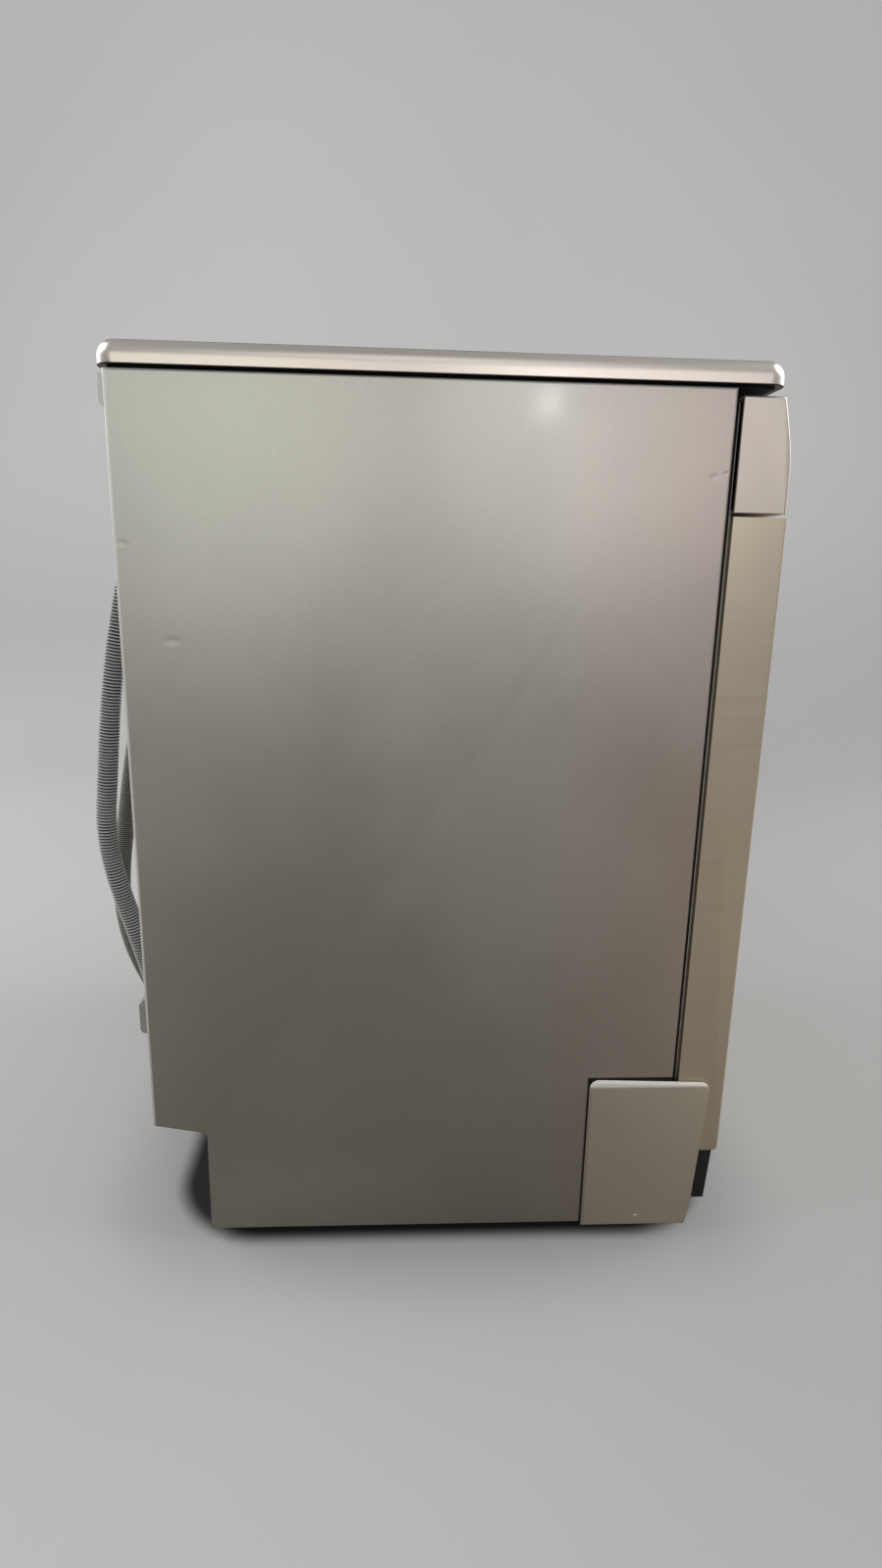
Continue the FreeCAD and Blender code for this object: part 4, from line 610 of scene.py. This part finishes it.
def rackWires(build, facts):
    half, front, rear, floor, rim = (facts[name] for name in ("half", "front", "rear", "floor", "rim"))
    gauge, corner, lift = wires["gauge"], wires["corner"], 2 * wires["gauge"]
    for y in np.linspace(front + wires["acrossInset"], rear - wires["acrossInset"], wires["across"]):
        hoop = [(-half, y, rim), (-half, y, floor + lift), (half, y, floor + lift), (half, y, rim)]
        build.tube(bentPath(hoop, corner), gauge, (0, 1, 0))
    for x in np.linspace(-half + wires["alongInset"], half - wires["alongInset"], wires["along"]):
        hoop = [(x, front, rim), (x, front, floor), (x, rear, floor), (x, rear, rim)]
        build.tube(bentPath(hoop, corner), gauge, (1, 0, 0))
    for height, inset, radius in ((facts["middle"], lift, gauge), (rim, 0, wires["rimGauge"])):
        x, y0, y1 = half - inset, front + inset, rear - inset
        hoop = [(-x, y0, height), (x, y0, height), (x, y1, height), (-x, y1, height)]
        build.tube(bentPath(hoop, wires["hoopCorner"], True), radius, (0, 0, 1), ring=True)


def tine(build, x, y, foot, top, lean=0.0):
    # an upright pin with a rounded tip, which ends in a tiny flat. lean is its way back for each step up.
    gauge, flat = wires["gauge"], 0.05
    turn = np.linspace(0, math.pi / 2, wires["tipSteps"])
    rise = np.concatenate([[foot], top - gauge + gauge * np.sin(turn)])
    radius = np.concatenate([[1], np.maximum(np.cos(turn), flat)]) * gauge
    path = np.stack([np.full(len(rise), x), y + lean * (rise - foot), rise], axis=1)
    build.tube(path, radius, (1, 0, 0))


def tineRow(build, y, foot, top, bar):
    # a row of tines on a level bar that reaches past both ends
    places = tines["places"]
    for x in places:
        tine(build, x, y, foot, top)
    ends = [(places[0] - tines["barBefore"], y, bar), (places[-1] + tines["barAfter"], y, bar)]
    build.tube(np.array(ends), wires["gauge"], (0, 0, 1))


def beside(side, inner, outer):
    # two places to one side of the middle, the lower first
    return sorted((side * inner, side * outer))


def lowerRack():
    floor, foldRow, foldFoot = wires["lower"]["floor"], tines["foldRow"], tines["foldFoot"]
    build = Shells()
    rackWires(build, wires["lower"])
    for row in tines["rows"]:
        tineRow(build, row, floor, tines["top"], tines["bar"])
    for x in tines["places"][::4] + 0.006:      # the folding row's three bearings
        build.block((x, foldRow - 0.006, floor + 0.002), (x + 0.008, foldRow + 0.006, foldFoot + 0.006), 0.002)
    build.piece("lowerRackWires", "lower_rack", "coated_wire", ["lower_rack"], 60)
    axle = [(0, -0.006), (0.004, -0.006), (0.004, 0.0045), (0.0035, 0.0052), (0, 0.0052)]
    carriers = Shells()
    for side in bothSides:
        for y in (-wheel["y"], wheel["y"]):
            x0, x1 = beside(side, 0.250, 0.2564)
            carriers.block((x0, y - 0.011, 0.156), (x1, y + 0.011, 0.242), 0.002)
            carriers.turned(axle, (side * 0.2612, y, wheel["z"]), (side, 0, 0), 20)
    carriers.piece("wheelCarriers", "lower_rack", "grey_plastic")
    folding = Shells()
    tineRow(folding, foldRow, foldFoot, tines["foldTop"], foldFoot)
    folding.piece("foldingTineWires", "folding_tines", "coated_wire", ["folding_tines"], 60)
    grip = Shells().block((-0.07, -0.2225, 0.262), (0.07, -0.2165, 0.300), 0.0025)
    grip.piece("lowerRackGrip", "lower_rack", "grey_plastic")


def rackWheels():
    # a tyre-shaped rim, a thin web with a raised hub
    profile = [(0.0042, 0.0), (0.007, 0.0), (0.0072, 0.0016), (0.0135, 0.0022), (0.0145, 0.0003), (0.0168, 0.0003),
               (0.018, 0.0018), (0.018, 0.0072), (0.0168, 0.0088), (0.0145, 0.0088), (0.0135, 0.0062),
               (0.0074, 0.0066), (0.007, 0.009), (0.0042, 0.009), (0.0042, 0.0)]
    for name, y in (("front_wheels", -wheel["y"]), ("rear_wheels", wheel["y"])):
        build = Shells()
        for side in bothSides:
            build.turned(profile, (side * wheel["x"], y, wheel["z"]), (side, 0, 0), 40)
        build.piece(name + "Turned", name, "grey_plastic", [name], 40)


def cutleryBasket():
    # a lattice: upright bars between a base, a rim and three bands, with a wall that parts the two cells
    x0, x1, y0, y1, low, high = 0.168, 0.246, -0.110, 0.110, 0.1795, 0.320
    wall, bar, pitch, cut = 0.0024, 0.0034, 0.0082, 0.0006
    bands = ((high - 0.010, 0.010), (low + 0.068, 0.004), (low + 0.034, 0.003), (low + 0.101, 0.003), (low, 0.012))
    levelWalls, endWalls = (y0, -wall / 2, y1 - wall), (x0, x1 - wall)
    barTop, lastBar = high - 0.002, 0.003
    build = Shells().block((x0, y0, low), (x1, y1, low + wall), 0.001)
    for y in levelWalls:
        for x in np.arange(x0, x1 - lastBar, pitch):
            build.block((x, y, low), (x + bar, y + wall, barTop), cut)
    for x in endWalls:
        for y in np.arange(y0, y1 - lastBar, pitch):
            build.block((x, y, low), (x + wall, y + bar, barTop), cut)
    for height, rise in bands:
        for y in levelWalls:
            build.block((x0, y, height), (x1, y + wall, height + rise), cut)
        for x in endWalls:
            build.block((x, y0, height), (x + wall, y1, height + rise), cut)
    inset, foot, bowTop = 0.004, high - 0.004, 0.376
    bow = [(x0 + inset, 0, foot), (x0 + inset, 0, bowTop), (x1 - inset, 0, bowTop), (x1 - inset, 0, foot)]
    build.tube(bentPath(bow, 0.012), 0.0038, (0, 1, 0), 12)
    build.piece("cutleryLattice", "cutlery_basket", "grey_plastic", ["cutlery_basket"], 40)


def upperRack():
    build = Shells()
    rackWires(build, wires["upper"])
    for x in tines["upperPlaces"]:
        for y in tines["upperRows"]:
            tine(build, x, y, wires["upper"]["floor"], tines["upperTop"], tines["upperLean"])
    build.piece("upperRackWires", "upper_rack", "coated_wire", ["upper_rack"], 60)
    runners = Shells()
    for side in bothSides:
        x0, x1 = beside(side, 0.2584, 0.2683)
        runners.block((x0, -0.226, 0.5485), (x1, 0.226, 0.5715), 0.0016)
        for y in (-0.15, 0.15):
            x0, x1 = beside(side, 0.2545, 0.2600)
            runners.block((x0, y - 0.022, 0.540), (x1, y + 0.022, 0.594), 0.0018)
    runners.piece("upperRunners", "upper_rack", "inner_steel")
    # the pipe to the upper spray arm: its places and radii, then the arm's bearing below it
    pipe = np.array([(0.236, 0.468, 0.0075), (0.226, 0.468, 0.0078), (0.224, 0.468, 0.006), (0.02, 0.468, 0.006),
                     (0.0, 0.467, 0.0056), (-0.010, 0.467, 0.003)])
    bearing = [(0, 0.4431), (0.0078, 0.4431), (0.0078, 0.4452), (0.005, 0.4456), (0.005, 0.4615), (0.011, 0.463),
               (0.011, 0.472), (0, 0.473)]
    feed = Shells().tube(np.insert(pipe[:, :2], 0, 0, axis=1), pipe[:, 2], (0, 0, 1), 16)
    feed.turned(bearing, (0, armY, 0), sides=24)
    feed.piece("upperFeed", "upper_rack", "grey_plastic")
    grip = Shells().block((-0.085, -0.2235, 0.556), (0.085, -0.2165, 0.597), 0.0025)
    grip.piece("upperRackGrip", "upper_rack", "grey_plastic")


def sprayArm(node, reach, low):
    # a blade on a grid: its half width tapers as 1 - share^2 to the tip, its middle line bends like an S,
    # and its section is a flattened ellipse. Nozzles stand along it, off its middle line.
    half, tip, height, bend, offset = 0.023, 0.011, 0.010, 0.006, 0.004
    stations, sides, blunt, flat = 61, 20, 24, 0.7      # blunt keeps the tip wide, flat fills out the section
    bore, hub, lip = 0.0054, 0.018, 0.0024
    nozzles = (-0.93, -0.8, -0.62, -0.45, -0.27, 0.2, 0.36, 0.52, 0.7, 0.86)
    nozzle = [(0, height - 0.0008), (0.0042, height - 0.0008), (0.0040, height + 0.0009), (0.0022, height + 0.0014),
              (0.0016, height + 0.0004), (0, height + 0.0004)]
    share = np.sin(np.linspace(-math.pi / 2, math.pi / 2, stations))
    end = np.sqrt(np.maximum(1 - np.abs(share) ** blunt, 0)) * 0.98 + 0.02
    width = (tip + (half - tip) * (1 - share ** 2)) * end
    sweep = armY + bend * np.sin(math.pi * share)
    turn = turns(sides)
    across, up = np.cos(turn), np.sign(np.sin(turn)) * np.abs(np.sin(turn)) ** flat
    grid = np.stack(np.broadcast_arrays(reach * share[:, None], sweep[:, None] + width[:, None] * across,
                                        low + height / 2 + height / 2 * end[:, None] ** 0.5 * up), axis=-1)
    build = Shells().surface(grid)
    build.turned([(bore, low - lip), (hub - 0.0015, low - lip), (hub, low), (hub, low + height),
                  (hub - 0.0015, low + height + lip), (bore, low + height + lip), (bore, low - lip)], (0, armY, 0))
    for spot in nozzles:
        y = armY + bend * math.sin(math.pi * spot) + (offset if spot < 0 else -offset)
        build.turned(nozzle, (reach * spot, y, low), sides=16)
    build.piece(node + "Blade", node, "grey_plastic", [node], 40)


def topSpray():
    # a flat rose with two rings of nozzles
    rose = [(0, 0.7798), (0.046, 0.7798), (0.052, 0.7815), (0.0548, 0.785), (0.0548, 0.7905), (0.051, 0.7917),
            (0, 0.7917)]
    nozzle = [(0, 0.7805), (0.0022, 0.7805), (0.0028, 0.7792), (0.0014, 0.7788), (0, 0.7798)]
    build = Shells().turned(rose, (0, armY, 0), sides=48)
    for ring, count in ((0.018, 6), (0.036, 12)):
        for turn in turns(count):
            build.turned(nozzle, (ring * math.cos(turn), armY + ring * math.sin(turn), 0), sides=10)
    build.piece("topSprayRose", "top_spray", "grey_plastic", ["top_spray"])


def filterCup():
    x, gripHalf = 0.046, 0.021
    profile = [(0, 0.0942), (0.029, 0.0942), (0.0318, 0.097), (0.0318, 0.1362), (0.0358, 0.1364), (0.0358, 0.1374),
               (0.034, 0.138), (0.024, 0.138), (0.022, 0.1365), (0, 0.1365)]
    build = Shells().turned(profile, (x, armY, 0), sides=48)
    build.block((x - gripHalf, armY - 0.003, 0.136), (x + gripHalf, armY + 0.003, 0.146), 0.0016)
    build.piece("filterCupTurned", "filter_cup", "pale_plastic", ["filter_cup"])


def saltCap():
    # a screw cap with a grip bar and ribs round its rim
    x, y, gripHalf, rim, ribs = -0.17, -0.13, 0.017, 0.0292, 24
    profile = [(0, 0.1292), (0.0258, 0.1292), (0.0258, 0.1423), (0.0298, 0.1424), (0.0298, 0.1448), (0.0285, 0.1462),
               (0, 0.1465)]
    rib = [(0, 0.1425), (0.0011, 0.1425), (0.0011, 0.1446), (0, 0.145)]
    build = Shells().turned(profile, (x, y, 0), sides=48)
    build.block((x - gripHalf, y - 0.003, 0.1458), (x + gripHalf, y + 0.003, 0.1492), 0.0012)
    for turn in turns(ribs):
        build.turned(rib, (x + rim * math.cos(turn), y + rim * math.sin(turn), 0), sides=8)
    build.piece("saltCapTurned", "salt_cap", "grey_plastic", ["salt_cap"])


def rinseCap():
    x, z, gripHalf = 0.04, 0.56, 0.0125
    profile = [(0, -0.2412), (0.0118, -0.2412), (0.0118, -0.2320), (0.0178, -0.2318), (0.0178, -0.2302),
               (0.0168, -0.2294), (0, -0.2292)]
    build = Shells().turned(profile, (x, 0, z), (0, 1, 0), 40)
    build.block((x - gripHalf, -0.2300, z - 0.0015), (x + gripHalf, -0.2292, z + 0.0015), 0.0004)
    build.piece("rinseCapTurned", "rinse_cap", "rinse_blue", ["rinse_cap"])


def feet():
    # a hexagonal disc on a threaded stem: the thread is a ridge that climbs one pitch each turn
    pitch, core, ridge, perTurn = 0.0015, 0.0042, 0.0008, 8
    discTop, sole = 0.009, 0.003
    disc = ((0.94, 0.0025), (1.0, 0.0034), (1.0, 0.0082), (0.95, discTop))     # shares of the width, heights
    for node in ("left_front_foot", "left_rear_foot", "right_front_foot", "right_rear_foot"):
        low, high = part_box(node)
        x, y = (low[0] + high[0]) / 2, (low[1] + high[1]) / 2
        turn = turns(24)
        climb = np.arange(low[2] + discTop, high[2], pitch / perTurn)
        phase = (climb[:, None] / pitch - turn / math.tau) % 1.0
        radius = core + ridge * np.abs(1 - 2 * phase)
        stem = np.broadcast_arrays(x + radius * np.cos(turn), y + radius * np.sin(turn), climb[:, None])
        build = Shells().surface(np.stack(stem, axis=-1))
        wide = (high[0] - low[0]) / 2 - 0.0004
        build.turned([(0, 0), (wide * 0.8, 0), (wide * 0.86, 0.001), (wide * 0.86, sole), (0, sole)],
                     (x, y, low[2]), sides=36)
        corner = turns(6)
        rows = [np.stack([x + wide * share * np.cos(corner), y + wide * share * np.sin(corner),
                          np.full(len(corner), low[2] + height)], axis=1) for share, height in disc]
        build.surface(np.array(rows))
        build.piece(node + "Threaded", node, "foot_plastic", [node], 40)


def rearScrews():
    # domed heads with a socket, along both sides of the rear panel and along its lower seam
    head = [(0, 0.2822), (0.0044, 0.2822), (0.0044, 0.2828), (0.0036, 0.2839), (0.0022, 0.2844), (0.0016, 0.2844),
            (0.0012, 0.2834), (0, 0.2834)]
    places = [(side * 0.281, z) for side in bothSides for z in (0.165, 0.35, 0.50, 0.65, 0.775)]
    places += [(x, 0.150) for x in (-0.215, 0.0, 0.11, 0.215)]
    build = Shells()
    for x, z in places:
        build.turned(head, (x, 0, z), (0, 1, 0), 18)
    build.piece("rearScrews", "cabinet", "sheet_steel")


def dispenserTrim():
    # a raised rim round the dispenser, and its lid's release catch with three grip lines
    (x0, _, z0), (x1, face, z1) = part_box("dispenser_body")
    sunk, rise, wide, line = face - 0.0002, face + 0.0008, 0.0026, 0.0006
    build = Shells()
    for start, end in (((x0, z0), (x0 + wide, z1)), ((x1 - wide, z0), (x1, z1)),
                       ((x0 + wide, z0), (x1 - wide, z0 + wide)), ((x0 + wide, z1 - wide), (x1 - wide, z1))):
        build.block((start[0], sunk, start[1]), (end[0], rise, end[1]), 0.0004)
    build.block((0.000, sunk, 0.470), (0.013, rise, 0.496), 0.0006)
    for z in (0.477, 0.483, 0.489):
        build.block((0.002, rise - 0.0002, z - line), (0.011, rise + 0.0004, z + line), 0.0002)
    build.piece("dispenserTrim", "door", "grey_plastic")


rearScrews()
dispenserTrim()
lowerRack()
rackWheels()
cutleryBasket()
upperRack()
sprayArm("lower_spray_arm", 0.225, 0.153)
sprayArm("upper_spray_arm", 0.204, 0.448)
topSpray()
filterCup()
saltCap()
rinseCap()
feet()
print("racks and tub fittings")


# Floor, backdrop and lamps

def roomFinish():
    # the camera sees a grey studio sheet that glows a little, with a soft painted shadow under the machine.
    # What mirrors in the machine is a warmer, darker sheet.
    finish = Finish("studioFloor", 0.9)
    seen = finish.add("ShaderNodeLightPath", {}, {}, "Is Camera Ray")
    # painted light: besides noise, the sheet is lighter towards the back (+y), most on the floor and less up the wall
    share = finish.noise(1.4, 2) * 0.2 + finish.y.over(-0.6, 0.8) * finish.z.over(0, 0.5, 0.85, 0.27)
    tone = finish.mix(share, (0.31, 0.308, 0.304), (0.46, 0.458, 0.454))
    glow = finish.mix(finish.z.over(0.0, 1.3), (0.155, 0.154, 0.152), (0.283, 0.284, 0.286))
    # how far a place lies from a rectangle in the middle of the footprint
    halfWidth, halfDepth, setForward = 0.195, 0.19, 0.01
    aside = (finish.x.absolute() - halfWidth).top(0)
    along = ((finish.y + setForward).absolute() - halfDepth).top(0)
    away = (aside * aside + along * along) ** 0.5
    # painted shadow: near black inside the footprint, fading out round it, in both colour and glow
    lit = away.over(0.088, 0.114) * away.over(0.09, 0.22, 0.78, 1)
    tone = finish.mix(lit, (0.02, 0.02, 0.022), tone)
    glow = finish.mix(lit, (0.001, 0.001, 0.0012), glow)
    outward = (finish.y - 0.05).absolute().over(0.15, 0.95)
    mirrored = finish.mix(outward, (0.143, 0.126, 0.102), (0.33, 0.285, 0.24))
    finish.shade(Base_Color=finish.mix(seen, mirrored, tone), Emission_Color=finish.mix(seen, (0, 0, 0), glow))
    finish.shader.inputs["Emission Strength"].default_value = 1.0
    return finish


def setRoom():
    # one sheet: the floor, a round bend and a wall to the machine's right
    reach, wall, rise, bend = 6.0, 3.0, 4.0, 1.2
    turn = np.linspace(0, math.pi / 2, 12)
    across = np.concatenate([[-reach], wall - bend + bend * np.sin(turn), [wall]])
    height = np.concatenate([[0], bend - bend * np.cos(turn), [rise]])
    rows = len(across)
    points = np.stack([np.stack([across, np.full(rows, end), height], axis=1) for end in (-reach, reach)])
    index = np.arange(2 * rows).reshape(2, rows)
    faces = np.stack([index[0, :-1], index[0, 1:], index[1, 1:], index[1, :-1]], axis=-1)
    mesh = bpy.data.meshes.new("studioFloor")
    mesh.from_pydata(points.reshape(-1, 3).tolist(), [], faces.tolist())
    mesh.materials.append(roomFinish().material)
    mesh.shade_smooth()
    floor = bpy.data.objects.new("studioFloor", mesh)
    scene.collection.objects.link(floor)
    world = bpy.data.worlds.new("studio")
    world.use_nodes = True
    sky = world.node_tree.nodes["Background"].inputs
    sky["Color"].default_value = (0.80, 0.82, 0.85, 1)
    sky["Strength"].default_value = 0.35
    scene.world = world


def lamp(name, place, target, size, power, colour=(1, 1, 1)):
    # a round lamp, its size in metres and its power in watts
    data = bpy.data.lights.new(name, "AREA")
    data.shape, data.size, data.energy, data.color = "DISK", size, power, colour
    item = bpy.data.objects.new(name, data)
    turn = (Vector(target) - Vector(place)).to_track_quat("-Z", "Y").to_matrix()
    item.matrix_world = Matrix.Translation(place) @ turn.to_4x4()
    scene.collection.objects.link(item)


setRoom()
lamp("leftWall", (-3.0, 0.9, 1.38), (-0.3, 0.1, 0.8), 1.7, 6.7, (1.0, 1.0, 0.93))
lamp("rightWall", (-3.0, -0.9, 1.5), (-0.3, -0.1, 0.8), 1.7, 6.7, (1.0, 0.94, 0.92))
lamp("windowLamp", (-2.7, -0.55, 1.42), (-0.3, -0.08, 0.80), 0.07, 0.78, (0.94, 0.98, 1.0))
lamp("highLeft", (-2.3, 0.0, 2.9), (-0.3, 0.0, 0.84), 1.8, 5)
lamp("ceilingFront", (-0.2, -3.0, 3.0), (0, 0, 0), 2.4, 34)
lamp("ceilingRear", (-0.2, 3.0, 3.0), (0, 0, 0), 2.4, 34)
lamp("frontLamp", (0.7, -2.6, 1.9), (0, -0.3, 0.5), 2.4, 27)
lamp("rearLamp", (0.9, 2.6, 1.8), (0, 0.3, 0.5), 2.4, 27)


# Carried-over solids: the shape stays, and edges are eased on a merged copy, by these widths

eased = {
    "worktop": 0.0004, "worktop_board": 0.0004, "left_side_panel": 0.0008, "right_side_panel": 0.0008,
    "door_outer_panel": 0.0014, "control_panel": 0.0014, "left_hinge_cover": 0.0014, "right_hinge_cover": 0.0014,
    "plinth": 0.0012, "rear_panel": 0.0002, "base_rear_wall": 0.0008, "rear_brackets": 0.0006, "rear_clips": 0.0008,
    "base_tray": 0.0010, "door_liner": 0.0008, "power_button": 0.0006, "program_button": 0.0006, "start_button": 0.0006,
    "display_window": 0.0003, "hinge_brackets": 0.0003, "hinge_arms": 0.0003, "hose_outlets": 0.0010,
    "hose_hooks": 0.0006, "circulation_pump": 0.0015, "drain_pump": 0.0012, "inlet_valve": 0.0012,
    "water_wall": 0.0015, "left_rail": 0.0002, "right_rail": 0.0002, "middle_slides": 0.0002,
    "dispenser_body": 0.0006, "dispenser_lid": 0.0005,
}


def easedCopy(node, width):
    mesh = frame["nodes"][node].data.copy()
    shape = bmesh.new()
    shape.from_mesh(mesh)
    bmesh.ops.remove_doubles(shape, verts=shape.verts, dist=1e-6)
    bmesh.ops.dissolve_limit(shape, angle_limit=math.radians(1), verts=shape.verts, edges=shape.edges)
    shape.to_mesh(mesh)
    shape.free()
    piece = finished(node + "Eased", mesh, nodeBody[node], nodeSlot[node], [node], turnOut=False)
    bevel = piece.modifiers.new("easedEdges", "BEVEL")
    bevel.width, bevel.segments, bevel.limit_method = width, 2, "ANGLE"
    bevel.angle_limit = math.radians(35)


for node, width in eased.items():
    easedCopy(node, width)
for node, item in frame["nodes"].items():
    for part in item.material_slots:
        part.material = finishes.get(node, finishes[nodeSlot[node]]).material
print("eased", len(eased))
